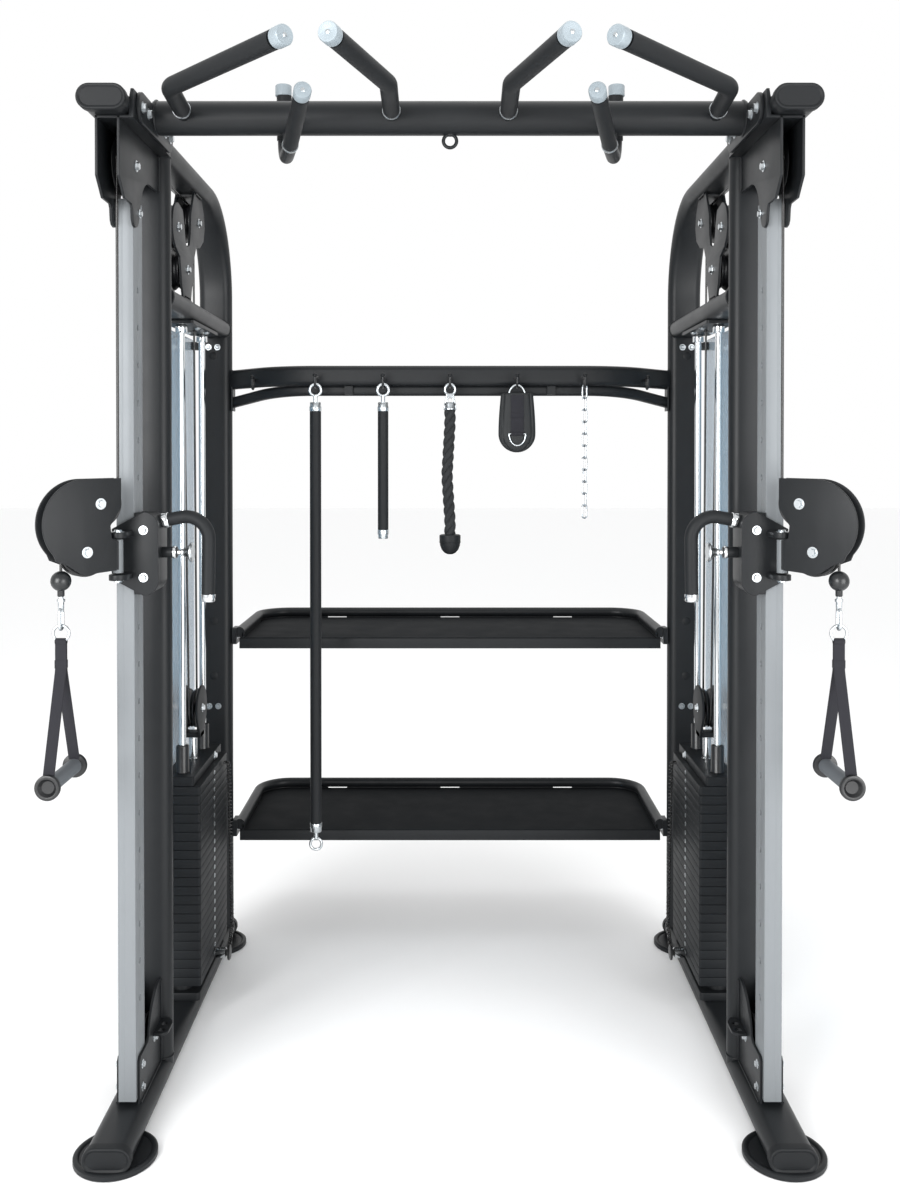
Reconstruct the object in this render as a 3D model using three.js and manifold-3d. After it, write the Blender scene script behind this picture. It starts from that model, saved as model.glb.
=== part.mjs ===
// Functional trainer: two weight towers joined by a pull-up beam, two shelves and an accessory bar.
// Millimetres, +Z up. Towers are drawn once, with x outwards from the tower's centre plane, and mirrored.
import * as THREE from "three";
import { mergeVertices } from "three/addons/utils/BufferGeometryUtils.js";
import Module from "manifold-3d";

const wasm = await Module();
wasm.setup();

// ---- Driving dimensions -------------------------------------------------------------------------
const GAP = 0.3; // air left between touching pieces
const DEPTH_CENTRE = 573.06; // the y that becomes 0, so that the box is centred on the origin
const TOWER_X = 729; // centre plane of each tower
const TUBE_WIDE = 100; // flat-oval frame tube
const TUBE_THICK = 50;

const BASE_Z = 35; // axis of the base rail
const BASE_FRONT = -75;
const BASE_REAR = 1160;
const FOOT_RADIUS = 90;
const REAR_FOOT_Y = 1090;
const UPRIGHT_Y = 315; // front upright
const REAR_Y = 1100; // rear upright
const TOP_Z = 2280; // axis of the top rail
const TOP_FRONT = -86;
const ARCH_RADIUS = 270;
const MID_Z = 1920; // axis of the mid beam

const RAIL = { wide: 40, front: 90, back: 165, bottom: 70, top: 2105 };
const HOLE_COUNT = 20;
const HOLE_PITCH = 85;
const HOLE_FIRST_Z = 290;
const HOLE_RADIUS = 7;
const RAIL_MID_Y = (RAIL.front + RAIL.back) / 2;

const CHEEK_IN = 20.5; // pulley cheeks, from the centre plane
const CHEEK_OUT = 26.5;
const CABLE_RADIUS = 3;
const WRAP = 50; // cable axis round an ordinary pulley
const TOP_WRAP = 60; // and round the front top pulley
const FLANGE = 4.5; // pulley rim beyond the cable's axis
const ARM_FLANGE = 3; // smaller rims on the arm, where two pulleys stand close

const HINGE_Y = 34; // swivel axis of the pulley arm, in front of the guide rail
const ARM_TURN = THREE.MathUtils.degToRad(-43); // the arm points outwards and forwards
const CARRIAGE_Z = HOLE_FIRST_Z + 12 * HOLE_PITCH; // the carriage is pinned in the thirteenth hole
const STRAND_U = 131; // the cable leaves the arm this far from the swivel axis
const BALL_RADIUS = 21.5; // stop on the cable's end, heights from the carriage's centre
const BALL_Z = -46;
const HOOK_END_Z = -152;

// Pulley centres in the tower's plane: y, z.
const TOP_PULLEY = [HINGE_Y + TOP_WRAP, 2178];
const REAR_PULLEYS = [
  [494, 2122],
  [734, 2179],
  [600, 2028],
];
const STACK_PULLEY = [763.5, 815];
const BOTTOM_PULLEY = [228, 150];
const ARM_PULLEYS = [
  [50, 116],
  [81, 13],
]; // in the arm: out from the swivel axis, up from the carriage's centre

const ROD_Y = [635, 892];
const ROD_RADIUS = 9.5;
const STACK = { half: 60, front: 580, back: 947, bottom: 105, top: 643 };
const HEAD_HALF = 43; // half-width of the narrower head plate

const BEAM_Y = 130;
const BEAM_Z = 2295;
const BEAM_RADIUS = 38;
const GRIP_RADIUS = 19;
const SHELF_Z = { upper: 963, lower: 363 };
const HOOK_X = [-590, -392, -195, 0, 195, 392, 590];
const HOOK_Y = 862;
const HOOK_Z = 1729; // lowest point of a hook's axis

// ---- Solids ------------------------------------------------------------------------------------
function solid(geometry) {
  const bare = geometry.clone();
  bare.deleteAttribute("normal");
  bare.deleteAttribute("uv");
  const merged = mergeVertices(bare, 1e-4);
  const mesh = new wasm.Mesh({
    numProp: 3,
    vertProperties: new Float32Array(merged.attributes.position.array),
    triVerts: new Uint32Array(merged.index.array),
  });
  return new wasm.Manifold(mesh);
}

function join(...geometries) {
  const solids = geometries.map(solid);
  return geometryOf(solids.slice(1).reduce((sum, next) => sum.add(next), solids[0]));
}

function cut(geometry, ...cutters) {
  return geometryOf(cutters.map(solid).reduce((left, next) => left.subtract(next), solid(geometry)));
}

function geometryOf(manifold) {
  const mesh = manifold.getMesh();
  const geometry = new THREE.BufferGeometry();
  geometry.setAttribute("position", new THREE.BufferAttribute(mesh.vertProperties.slice(), 3));
  geometry.setIndex(new THREE.BufferAttribute(mesh.triVerts.slice(), 1));
  geometry.computeVertexNormals();
  return geometry;
}

function box(x0, x1, y0, y1, z0, z1) {
  const geometry = new THREE.BoxGeometry(x1 - x0, y1 - y0, z1 - z0);
  return geometry.translate((x0 + x1) / 2, (y0 + y1) / 2, (z0 + z1) / 2);
}

const along = {
  x: new THREE.Matrix4().makeBasis(vec(0, 1, 0), vec(0, 0, 1), vec(1, 0, 0)),
  y: new THREE.Matrix4().makeBasis(vec(0, 0, 1), vec(1, 0, 0), vec(0, 1, 0)),
  z: new THREE.Matrix4(),
};

function vec(x, y, z) {
  return new THREE.Vector3(x, y, z);
}

// A plate of an outline, from one place to another along an axis. Outlines are (y, z) along x,
// (z, x) along y and (x, y) along z.
function plate(axis, from, to, outline, holes = []) {
  const shape = outline instanceof THREE.Shape ? outline : polygon(outline);
  shape.holes = holes;
  const geometry = new THREE.ExtrudeGeometry(shape, {
    depth: to - from,
    bevelEnabled: false,
    curveSegments: 6,
  });
  return geometry.translate(0, 0, from).applyMatrix4(along[axis]);
}

function polygon(points) {
  const corners = points.map(([a, b]) => new THREE.Vector2(a, b));
  return new THREE.Shape(THREE.ShapeUtils.isClockWise(corners) ? corners.reverse() : corners);
}

function disc(axis, from, to, a, b, radius, sides = 16) {
  const shape = polygon(circle(a, b, radius, sides));
  return plate(axis, from, to, shape);
}

function circle(a, b, radius, sides) {
  return Array.from({ length: sides }, (_, i) => {
    const turn = (2 * Math.PI * (i + 0.5)) / sides;
    return [a + radius * Math.cos(turn), b + radius * Math.sin(turn)];
  });
}

// Points of an arc about (a, b), both ends included; angles in degrees.
function arc(a, b, radius, from, to, steps) {
  return Array.from({ length: steps + 1 }, (_, i) => {
    const turn = THREE.MathUtils.degToRad(from + ((to - from) * i) / steps);
    return [a + radius * Math.cos(turn), b + radius * Math.sin(turn)];
  });
}

// A stadium outline: half-lengths along its two axes, round at the ends of the longer, second one.
function stadium(half, longHalf, steps = 6) {
  const straight = longHalf - half;
  return [...arc(0, straight, half, 0, 180, steps), ...arc(0, -straight, half, 180, 360, steps)];
}

// A path whose stations are exactly the points given to it.
class Route extends THREE.Curve {
  constructor(points) {
    super();
    this.points = points;
  }
  getPointAt(u) {
    return this.points[Math.round(u * (this.points.length - 1))].clone();
  }
  getTangentAt(u) {
    const last = this.points.length - 1;
    const i = Math.round(u * last);
    const before = this.points[Math.max(i - 1, 0)];
    const here = this.points[i];
    const after = this.points[Math.min(i + 1, last)];
    const tangent = vec(0, 0, 0);
    if (i > 0) tangent.add(here.clone().sub(before).normalize());
    if (i < last) tangent.add(after.clone().sub(here).normalize());
    return tangent.normalize();
  }
}

// Turns each inner corner of a line of points into an arc: each point is [x, y, z, radius, steps].
// A corner with no radius stays sharp.
function rounded(corners) {
  const points = [vec(...corners[0])];
  for (let i = 1; i < corners.length - 1; i++) {
    const [x, y, z, radius = 0, steps = 4] = corners[i];
    const corner = vec(x, y, z);
    if (!radius) {
      points.push(corner);
      continue;
    }
    const inward = corner.clone().sub(vec(...corners[i - 1])).normalize();
    const outward = vec(...corners[i + 1]).sub(corner).normalize();
    const turn = inward.angleTo(outward);
    const side = outward.clone().addScaledVector(inward, -inward.dot(outward)).normalize();
    const start = corner.clone().addScaledVector(inward, -radius * Math.tan(turn / 2));
    for (let k = 0; k <= steps; k++) {
      const angle = (turn * k) / steps;
      const step = start.clone().addScaledVector(inward, radius * Math.sin(angle));
      points.push(step.addScaledVector(side, radius * (1 - Math.cos(angle))));
    }
  }
  points.push(vec(...corners.at(-1)));
  return points;
}

function sweep(section, corners) {
  const points = rounded(corners);
  return new THREE.ExtrudeGeometry(polygon(section), {
    steps: points.length - 1,
    extrudePath: new Route(points),
    bevelEnabled: false,
  });
}

function tube(radius, corners, sides = 12) {
  return sweep(circle(0, 0, radius, sides), corners);
}

const ovalTube = (corners) => sweep(stadium(TUBE_THICK / 2, TUBE_WIDE / 2), corners);

// A turned piece: profile points are [radius, height along the axis].
function turned(profile, segments = 16) {
  const points = profile.map(([radius, height]) => new THREE.Vector2(radius, height));
  return new THREE.LatheGeometry(points, segments);
}

const uprightTurn = (geometry) => geometry.rotateX(Math.PI / 2);

// ---- Materials ---------------------------------------------------------------------------------
function finish(color, roughness, metalness, opacity = 1) {
  return { color, roughness, metalness, opacity, transparent: opacity < 1 };
}

const FINISHES = {
  frame: finish(0x2e3134, 0.55, 0.3),
  rail: finish(0xa7abae, 0.35, 0.9),
  chrome: finish(0xd5d8da, 0.12, 1),
  iron: finish(0x2e3133, 0.6, 0.4),
  rubber: finish(0x1b1d1f, 0.85, 0),
  pulley: finish(0x17191a, 0.5, 0),
  cable: finish(0x141516, 0.45, 0),
  acrylic: finish(0x8ba9bd, 0.15, 0, 0.45),
  grip: finish(0x232527, 0.8, 0),
  webbing: finish(0x17181a, 0.9, 0),
  padding: finish(0x232629, 0.75, 0),
  zinc: finish(0xb9bdc0, 0.3, 1),
};

function part(name, material, geometry) {
  const mesh = new THREE.Mesh(geometry, new THREE.MeshStandardMaterial(FINISHES[material]));
  mesh.name = name;
  return mesh;
}

// ---- Tower frame -------------------------------------------------------------------------------
function footDisc(y) {
  const profile = [
    [0, 0],
    [FOOT_RADIUS, 0],
    [FOOT_RADIUS, 14],
    [FOOT_RADIUS - 11, 14],
    [FOOT_RADIUS - 13, 10.5],
    [0, 10.5],
  ];
  return uprightTurn(turned(profile, 20)).translate(0, y, 0);
}

function baseFrame() {
  const half = TUBE_THICK / 2;
  const rail = ovalTube([
    [0, BASE_FRONT + 12, BASE_Z],
    [0, BASE_REAR - 12, BASE_Z],
  ]);
  const cap = (from, to) => plate("y", from, to, stadium(28, 53).map(([a, b]) => [a + BASE_Z, b]));
  const upright = cut(
    ovalTube([
      [0, UPRIGHT_Y, BASE_Z],
      [0, UPRIGHT_Y, TOP_Z],
    ]),
    sweep(stadium(half + GAP, TUBE_WIDE / 2 + GAP), [
      [0, UPRIGHT_Y - 60, TOP_Z],
      [0, UPRIGHT_Y + 60, TOP_Z],
    ]),
    box(-6, 6, UPRIGHT_Y - 30, UPRIGHT_Y + 30, 2226, TOP_Z), // the cable passes under the top rail
    box(-6, 6, UPRIGHT_Y - 30, UPRIGHT_Y + 30, 240, 940), // and slants back through the upright
  );
  const front = UPRIGHT_Y - half;
  const lowerCheek = [
    [100, BASE_Z + half - 3],
    [front + 4, BASE_Z + half - 3],
    [front + 4, 262],
    ...arc(front, 150, 112, 90, 168, 6),
    [170, 165],
    [112, 165],
    [100, 153],
  ];
  const upperCheek = [
    [-37, 2254],
    [-37, 2127],
    [-15, 2106],
    [4, 2087],
    [60, 2086],
    [67, 2050],
    [84, 2040],
    [108, 2045],
    [122, 2064],
    ...arc(210, 2082, 80, 180, 90, 4),
    [front + 4, 2164],
    [front + 4, 2254],
  ];
  const cheeks = (outline) => [
    plate("x", CHEEK_IN, CHEEK_OUT, outline),
    plate("x", -CHEEK_OUT, -CHEEK_IN, outline),
  ];
  const ear = plate("z", 157, 163, [
    [-CHEEK_IN - 2, 212],
    [-48, 212],
    [-60, 224],
    [-60, 272],
    [-48, front + 4],
    [-CHEEK_IN - 2, front + 4],
  ]);
  return join(
    rail,
    cap(BASE_FRONT, BASE_FRONT + 20),
    cap(BASE_REAR - 20, BASE_REAR),
    upright,
    footDisc(0),
    footDisc(REAR_FOOT_Y),
    ...cheeks(lowerCheek),
    ...cheeks(upperCheek),
    box(-CHEEK_OUT, CHEEK_OUT, -37, front + 4, 2248.5, 2254),
    cut(ear, disc("z", 150, 170, -42, 232, 7, 8), disc("z", 150, 170, -42, 262, 7, 8)),
  );
}

function rearArch() {
  const rearFront = REAR_Y - TUBE_THICK / 2;
  const uprightBack = UPRIGHT_Y + TUBE_THICK / 2;
  const arch = cut(
    ovalTube([
      [0, TOP_FRONT + 12, TOP_Z],
      [0, REAR_Y, TOP_Z, ARCH_RADIUS, 8],
      [0, REAR_Y, BASE_Z],
    ]),
    sweep(stadium(TUBE_THICK / 2 + GAP, TUBE_WIDE / 2 + GAP), [
      [0, REAR_Y - 60, BASE_Z],
      [0, REAR_Y + 58, BASE_Z],
    ]),
  );
  const mid = cut(
    ovalTube([
      [0, uprightBack - 25, MID_Z],
      [0, rearFront + 12, MID_Z],
    ]),
    sweep(stadium(TUBE_THICK / 2 + GAP, TUBE_WIDE / 2 + GAP), [
      [0, UPRIGHT_Y, MID_Z - 60],
      [0, UPRIGHT_Y, MID_Z + 60],
    ]),
    box(-6, 6, 410, 442, MID_Z - 40, MID_Z + 40),
    box(-6, 6, 640, 672, MID_Z - 40, MID_Z + 40),
    box(-6, 6, 774, 806, MID_Z - 40, MID_Z + 40),
  );
  const cap = plate("y", TOP_FRONT, TOP_FRONT + 20, stadium(28, 53).map(([a, b]) => [a + TOP_Z, b]));
  const angle = [
    [TOP_Z - 31, -CHEEK_OUT - GAP],
    [TOP_Z - 31, -56],
    [TOP_Z + 31, -56],
    [TOP_Z + 31, -50],
    [TOP_Z + 8, -46],
    [TOP_Z - 25, -46],
    [TOP_Z - 25, -CHEEK_OUT - GAP],
  ];
  return join(arch, mid, cap, plate("y", -37, UPRIGHT_Y - 28, angle));
}

function guideRail() {
  const bar = box(-20, 20, RAIL.front, RAIL.back, RAIL.bottom, RAIL.top);
  const holes = Array.from({ length: HOLE_COUNT }, (_, i) =>
    disc("x", -25, 8, RAIL_MID_Y, HOLE_FIRST_Z + i * HOLE_PITCH, HOLE_RADIUS, 8),
  );
  return cut(bar, ...holes);
}

function rearBracket() {
  const outline = [
    [550, 1945.3],
    [532, 1983],
    [512, 2048],
    [462, 2070],
    [494, 2182],
    [542, 2174],
    [562, 2140],
    [574, 2096],
    [592, 2088],
    [622, 2098],
    [634, 2130],
    [640, 2185],
    [683, 2254.7],
    [769, 2254.7],
    [800, 2220],
    [812, 2178],
    [797, 2139],
    [750, 2112],
    [703, 2105],
    [665, 2053],
    [683, 2028],
    [650, 1985],
    [636, 1945.3],
  ];
  const cheek = (from, to) => [
    plate("x", from, to, outline),
    disc("x", from, to, ...REAR_PULLEYS[0], 62, 20),
  ];
  return join(
    ...cheek(CHEEK_IN, CHEEK_OUT),
    ...cheek(-CHEEK_OUT, -CHEEK_IN),
    box(-CHEEK_OUT, CHEEK_OUT, 700, 755, 2246, 2254.7),
    box(-CHEEK_OUT, CHEEK_OUT, 560, 630, 1945.3, 1955),
  );
}

// A grooved wheel, its axis along x, with a boss that nearly fills the gap between the cheeks.
function pulley(wrap, boss, flange = FLANGE) {
  const rim = wrap + flange;
  const groove = wrap - CABLE_RADIUS - 2; // below the cable's straight steps
  const half = 11;
  const profile = [
    [0, -boss],
    [13, -boss],
    [13, -half],
    [rim, -half],
    [groove, -3.4],
    [groove, 3.4],
    [rim, half],
    [13, half],
    [13, boss],
    [0, boss],
  ];
  return turned(profile, 12).rotateZ(-Math.PI / 2);
}

// ---- Carriage and pulley arm, heights from the carriage's centre ------------------------------------
function carriageBody() {
  const outline = [
    ...arc(-60.5, -43, 33.5, -90, -180, 4),
    [-56, 28],
    [56, 28],
    ...arc(60.5, -43, 33.5, 0, -90, 4),
  ];
  const shell = cut(
    plate("y", 80, 172, outline),
    box(-21.5, 21.5, RAIL.front - 1.5, RAIL.back + 1.5, -100, 100),
  );
  const lug = (from, to) =>
    plate("z", from, to, [...arc(0, HINGE_Y, 20, 180, 360, 8), [20, 82], [-20, 82]]);
  const barrel = disc("x", -109, -70, RAIL_MID_Y, 0, 12.5, 12);
  const handle = tube(
    15,
    [
      [-66, RAIL_MID_Y, 70],
      [-181, RAIL_MID_Y, 92, 42, 5],
      [-178, RAIL_MID_Y, -113],
    ],
    12,
  );
  const anchor = box(-9, 9, 171, 188, 58, 80);
  const whole = join(shell, lug(39, 52), lug(-54, -41), barrel, handle, anchor);
  return cut(whole, disc("x", -120, -15, RAIL_MID_Y, 0, 6.8, 12));
}

function pullPin() {
  const profile = [
    [0, -144],
    [22.5, -144],
    [22.5, -128],
    [9, -128],
    [9, -114],
    [6, -114],
    [6, -23.4],
    [4, -20.4],
    [0, -20.4],
  ];
  return turned(profile, 12).rotateZ(-Math.PI / 2).translate(0, RAIL_MID_Y, 0);
}

// In the arm's own frame: x out along the arm, y across it, z up.
function swivelArm() {
  const outline = [
    [2, 171],
    [2, 106],
    [27, 68],
    [24, 40],
    [13, 36],
    [13, -30],
    [57, -33],
    [78, -38],
    [95, -33],
    [127, -12],
    [149, -3],
    ...arc(83, 74, 96, -42, 90, 9),
  ];
  const cheek = (from, to) => plate("y", from, to, outline.map(([u, z]) => [z, u]));
  const barrel = disc("z", -38, 36, 0, 0, 11, 16);
  return join(barrel, cheek(14.5, 19.5), cheek(-19.5, -14.5), box(6, 22, -19.5, 19.5, -30, 36));
}

function cableEnd() {
  const ball = new THREE.SphereGeometry(BALL_RADIUS, 12, 7);
  ball.rotateX(Math.PI / 2).translate(0, 0, BALL_Z);
  const outer = stadium(13, 43, 4).map(([y, z]) => [y, z + HOOK_END_Z + 43]);
  const inner = polygon(stadium(7, 20, 3).map(([y, z]) => [y, z + HOOK_END_Z + 27]));
  return join(ball, plate("x", -4, 4, outer, [inner]));
}

function ring(radius, thick) {
  const section = circle(radius, 0, thick, 6);
  return turned([...section, section[0]], 12);
}

function strapHandle() {
  const GRIP_HALF = 86; // from the middle of the grip to each end ring
  const gripZ = CARRIAGE_Z - 849;
  const web = [
    [-1.9, -12],
    [1.9, -12],
    [1.9, 12],
    [-1.9, 12],
  ];
  const eyeZ = HOOK_END_Z + 9 + 3 - 17; // the ring rests on the hook's lower bend
  const leg = (side) =>
    sweep(web, [
      [0, side * 1.2, eyeZ - 15],
      [0, side * 1.2, -233, 60, 3],
      [0, side * (GRIP_HALF - 4), 14 - gripZ],
    ]);
  const eye = ring(17, 3).translate(0, 0, eyeZ);
  const end = (side) => disc("y", side * GRIP_HALF - 6, side * GRIP_HALF + 6, -gripZ, 0, 26.5, 14);
  const grip = disc("y", -GRIP_HALF, GRIP_HALF, -gripZ, 0, 16.5, 12);
  return join(leg(-1), leg(1), eye, end(-1), end(1), grip);
}

// ---- Weights --------------------------------------------------------------------------------------
function weightStack() {
  const block = box(-STACK.half, STACK.half, STACK.front, STACK.back, STACK.bottom, STACK.top);
  const bores = ROD_Y.map((y) => disc("z", 0, 700, 0, y, ROD_RADIUS + 2, 12));
  return cut(block, ...bores, disc("x", -70, 10, STACK_PULLEY[0], 117, 6.5, 8));
}

function topPlate() {
  const [y, z] = STACK_PULLEY;
  const SLAB_TOP = STACK.top + 25;
  const slab = box(-HEAD_HALF, HEAD_HALF, STACK.front, STACK.back, STACK.top + GAP, SLAB_TOP);
  const sleeves = ROD_Y.map((rodY) => disc("z", SLAB_TOP - 8, SLAB_TOP + 73, 0, rodY, 18.5, 14));
  const outline = [[y - 22, 735], ...arc(y, z, 63, 215, -35, 12), [y + 22, 735]];
  const bores = ROD_Y.map((rodY) => disc("z", 600, 800, 0, rodY, ROD_RADIUS + 1.5, 12));
  const whole = join(
    slab,
    ...sleeves,
    disc("z", SLAB_TOP - 8, 740, 0, y, 11.5, 12),
    plate("x", CHEEK_IN, CHEEK_OUT, outline),
    plate("x", -CHEEK_OUT, -CHEEK_IN, outline),
    box(-CHEEK_OUT, CHEEK_OUT, y - 22, y + 22, 735, 748),
  );
  return cut(whole, ...bores);
}

function guideRods() {
  const rods = ROD_Y.map((y) => disc("z", 62, 1894.7, 0, y, ROD_RADIUS, 12));
  const bumper = box(-55, 55, 590, 937, BASE_Z + TUBE_THICK / 2 + GAP, STACK.bottom - GAP);
  const hanger = cut(
    box(-40, 40, 600, 930, 1885, 1894.7),
    box(-6, 6, 648, 672, 1880, 1900),
    box(-6, 6, 774, 806, 1880, 1900),
  );
  return join(...rods, bumper, hanger);
}

function selectorPin() {
  const profile = [
    [0, -105],
    [21, -105],
    [21, -100],
    [9, -100],
    [9, -92],
    [14, -92],
    [14, -64],
    [5, -64],
    [5, 0],
    [0, 0],
  ];
  return turned(profile, 12).rotateZ(-Math.PI / 2).translate(0, STACK_PULLEY[0], 117);
}

// The curly lanyard that keeps the selector pin, as the tube its coils fill.
function lanyard() {
  return tube(
    6,
    [
      [-71, 852, 635],
      [-74, 905, 620, 25, 2],
      [-76, 926, 300, 100, 1],
      [-80, 920, 135, 20, 2],
      [-96, 796, 118],
    ],
    8,
  );
}

function sideShield() {
  return box(62, 66, 352, 1064, 300, 1886);
}

// The cable, from its anchor behind the carriage round every pulley to the ball stop on the arm.
function mainCable() {
  const arm = (u, z, ...bend) => {
    const x = u * Math.cos(ARM_TURN);
    const y = HINGE_Y + u * Math.sin(ARM_TURN);
    return [x, y, CARRIAGE_Z + z, ...bend];
  };
  return tube(
    CABLE_RADIUS,
    [
      [0, BOTTOM_PULLEY[0] - WRAP, CARRIAGE_Z + 58 - GAP],
      [0, BOTTOM_PULLEY[0] - WRAP, BOTTOM_PULLEY[1] - WRAP, WRAP],
      [0, 273.95, BOTTOM_PULLEY[1] - WRAP, WRAP],
      [0, 448.05, 2172, WRAP],
      [0, 513, 2172, WRAP, 2],
      [0, 648.8, 2051.6, WRAP, 2],
      [0, 716.1, 765, WRAP],
      [0, 814.6, 765, WRAP],
      [0, 783, 2228.3, WRAP],
      [0, HINGE_Y, 2238.8, TOP_WRAP],
      arm(0, 70.2, WRAP),
      arm(STRAND_U, 58.8, WRAP),
      arm(STRAND_U, BALL_Z + BALL_RADIUS + GAP),
    ],
    8,
  );
}

function tower(side) {
  const group = new THREE.Group();
  const turningPulley = (name, centre, wrap = WRAP) => {
    const wheel = part(name, "pulley", pulley(wrap, CHEEK_IN - 1));
    wheel.position.set(0, ...centre);
    return wheel;
  };

  const arm = new THREE.Group();
  arm.position.set(0, HINGE_Y, 0);
  arm.rotation.z = ARM_TURN;
  arm.add(part("swivel_arm", "frame", swivelArm()));
  ARM_PULLEYS.forEach(([u, z], i) => {
    const name = ["arm_pulley_upper", "arm_pulley_lower"][i];
    const wheel = part(name, "pulley", pulley(WRAP, 13.5, ARM_FLANGE));
    wheel.rotation.z = Math.PI / 2;
    wheel.position.set(u, 0, z);
    arm.add(wheel);
  });

  const hanging = new THREE.Group();
  hanging.position.set(STRAND_U * Math.cos(ARM_TURN), HINGE_Y + STRAND_U * Math.sin(ARM_TURN), 0);
  hanging.add(part("cable_end", "zinc", cableEnd()), part("strap_handle", "webbing", strapHandle()));

  const carriage = new THREE.Group();
  carriage.position.z = CARRIAGE_Z;
  carriage.add(
    part("carriage", "frame", carriageBody()),
    part("pull_pin", "chrome", pullPin()),
    arm,
    hanging,
  );

  group.add(
    part("base_frame", "frame", baseFrame()),
    part("rear_arch", "frame", rearArch()),
    part("guide_rail", "rail", guideRail()),
    part("rear_bracket", "frame", rearBracket()),
    turningPulley("top_pulley", TOP_PULLEY, TOP_WRAP),
    ...REAR_PULLEYS.map((centre, i) => turningPulley("rear_pulley_" + (i + 1), centre)),
    turningPulley("stack_pulley", STACK_PULLEY),
    turningPulley("bottom_pulley", BOTTOM_PULLEY),
    carriage,
    part("weight_stack", "iron", weightStack()),
    part("top_plate", "iron", topPlate()),
    part("guide_rods", "chrome", guideRods()),
    part("selector_pin", "chrome", selectorPin()),
    part("lanyard", "rubber", lanyard()),
    part("side_shield", "acrylic", sideShield()),
    part("main_cable", "cable", mainCable()),
  );
  group.traverse((node) => {
    if (node.isMesh) node.name += side > 0 ? "_right" : "_left";
  });
  group.position.x = side * TOWER_X;
  group.scale.x = side;
  return group;
}

// ---- What joins the towers -----------------------------------------------------------------------------
function pullupBeam() {
  const halfLength = TOWER_X - 56 - GAP;
  const across = disc("x", 4 - halfLength, halfLength - 4, BEAM_Y, BEAM_Z, BEAM_RADIUS, 20);
  const flange = (side) => {
    const outline = stadium(34, 150).map(([z, y]) => [y + BEAM_Y, z + BEAM_Z - 12]);
    const edges = [side * halfLength, side * (halfLength - 8)].sort((a, b) => a - b);
    return plate("x", ...edges, outline);
  };
  const gripSides = 10;
  const outerGrip = (side) => {
    const path = [
      [side * 598, BEAM_Y - 20, BEAM_Z],
      [side * 583, -92, BEAM_Z, 60, 3],
      [side * 300, -392, BEAM_Z],
    ];
    return tube(GRIP_RADIUS, path, gripSides);
  };
  const innerGrip = (side) => {
    const path = [
      [side * 131, BEAM_Y - 20, BEAM_Z],
      [side * 127, -115, BEAM_Z, 60, 2],
      [side * 221, -408, BEAM_Z],
    ];
    return tube(GRIP_RADIUS, path, gripSides);
  };
  const neutralGrip = (side) => [
    tube(17, [
      [side * 390, 214, 2396],
      [side * 386, 214, 2220, 42],
      [side * 362, 112, 2222],
      [side * 294, -185, 2261],
    ]),
    box(side * 367 - 10, side * 367 + 10, 120, 150, 2228, 2265),
  ];
  const eye = ring(15, 4).translate(0, BEAM_Y, 2244);
  const stem = disc("z", 2256, 2262, 0, BEAM_Y, 7, 8);
  const both = (make) => [make(-1), make(1)];
  return join(
    across,
    ...both(flange),
    ...both(outerGrip),
    ...both(innerGrip),
    ...both(neutralGrip).flat(),
    eye,
    stem,
  );
}

function accessoryBar() {
  const end = TOWER_X - TUBE_WIDE / 2 - GAP;
  const bent = (section, [middleY, middleZ], [endY, endZ]) =>
    sweep(section, [
      [-end - 14, endY + 16, endZ],
      [-505, middleY, middleZ, 250, 2],
      [505, middleY, middleZ, 250, 2],
      [end + 14, endY + 16, endZ],
    ]);
  const half = 13.5; // of a hook, front to back
  const hook = (x, y) => [
    tube(
      3.5,
      [
        [x, y + 43, 1757],
        [x, y + half, 1757, 8, 1],
        [x, y + half, HOOK_Z, half - 0.1, 2],
        [x, y - half, HOOK_Z, half - 0.1, 2],
        [x, y - half - 3, 1761],
      ],
      6,
    ),
    new THREE.SphereGeometry(6.5, 7, 5).translate(x, y - half - 3, 1763),
  ];
  // The outer hooks stand on the angled ends of the bar.
  const place = (x) => hook(x, Math.abs(x) < 505 ? HOOK_Y : HOOK_Y + 93);
  const tab = (x) => box(x - 12, x + 12, 912, 942, 1710, 1750);
  const whole = join(
    bent(stadium(15, 30, 4).map(([a, b]) => [b, a]), [910, 1765], [1100, 1765]),
    bent(stadium(12, 17, 4).map(([a, b]) => [b, a]), [935, 1724], [1102, 1694]),
    ...HOOK_X.flatMap(place),
    tab(-300),
    tab(0),
    tab(300),
  );
  const beyond = (from, to) => box(from, to, 1000, 1200, 1600, 1900);
  return cut(whole, beyond(end, end + 50), beyond(-end - 50, -end));
}

function shelf(z) {
  const half = 672;
  const front = 1085;
  const back = 1560;
  const rimRadius = 16;
  const bend = 100;
  const edge = half - rimRadius;
  const tray = plate("z", z - 4, z, [
    [-edge, front],
    [edge, front],
    ...arc(edge - bend, back - rimRadius - bend, bend - 10, 0, 90, 4),
    ...arc(bend - edge, back - rimRadius - bend, bend - 10, 90, 180, 4),
  ]);
  const lip = box(-edge, edge, front, front + 4, z - 34, z);
  const rim = tube(
    rimRadius,
    [
      [-edge, front, z + 17],
      [-edge, back - rimRadius, z + 17, bend],
      [edge, back - rimRadius, z + 17, bend],
      [edge, front, z + 17],
    ],
    10,
  );
  const skirt = (side) => {
    const edges = [side * (edge - 12), side * (edge - 8)].sort((a, b) => a - b);
    return box(...edges, front, back - 140, z - 4, z + 17);
  };
  const lug = (side) => {
    const edges = [side * (half - 8), side * (half + 6.5)].sort((a, b) => a - b);
    return box(...edges, 1080, 1130, z - 20, z + 30);
  };
  return join(tray, lip, rim, skirt(-1), skirt(1), lug(-1), lug(1));
}

// ---- Accessories, drawn about the lowest point of their hook -------------------------------------------
const EYE_DROP = HOOK_Z + 3.5 + 0.8 - 12.5; // centre of a ring that hangs on a hook

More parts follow.
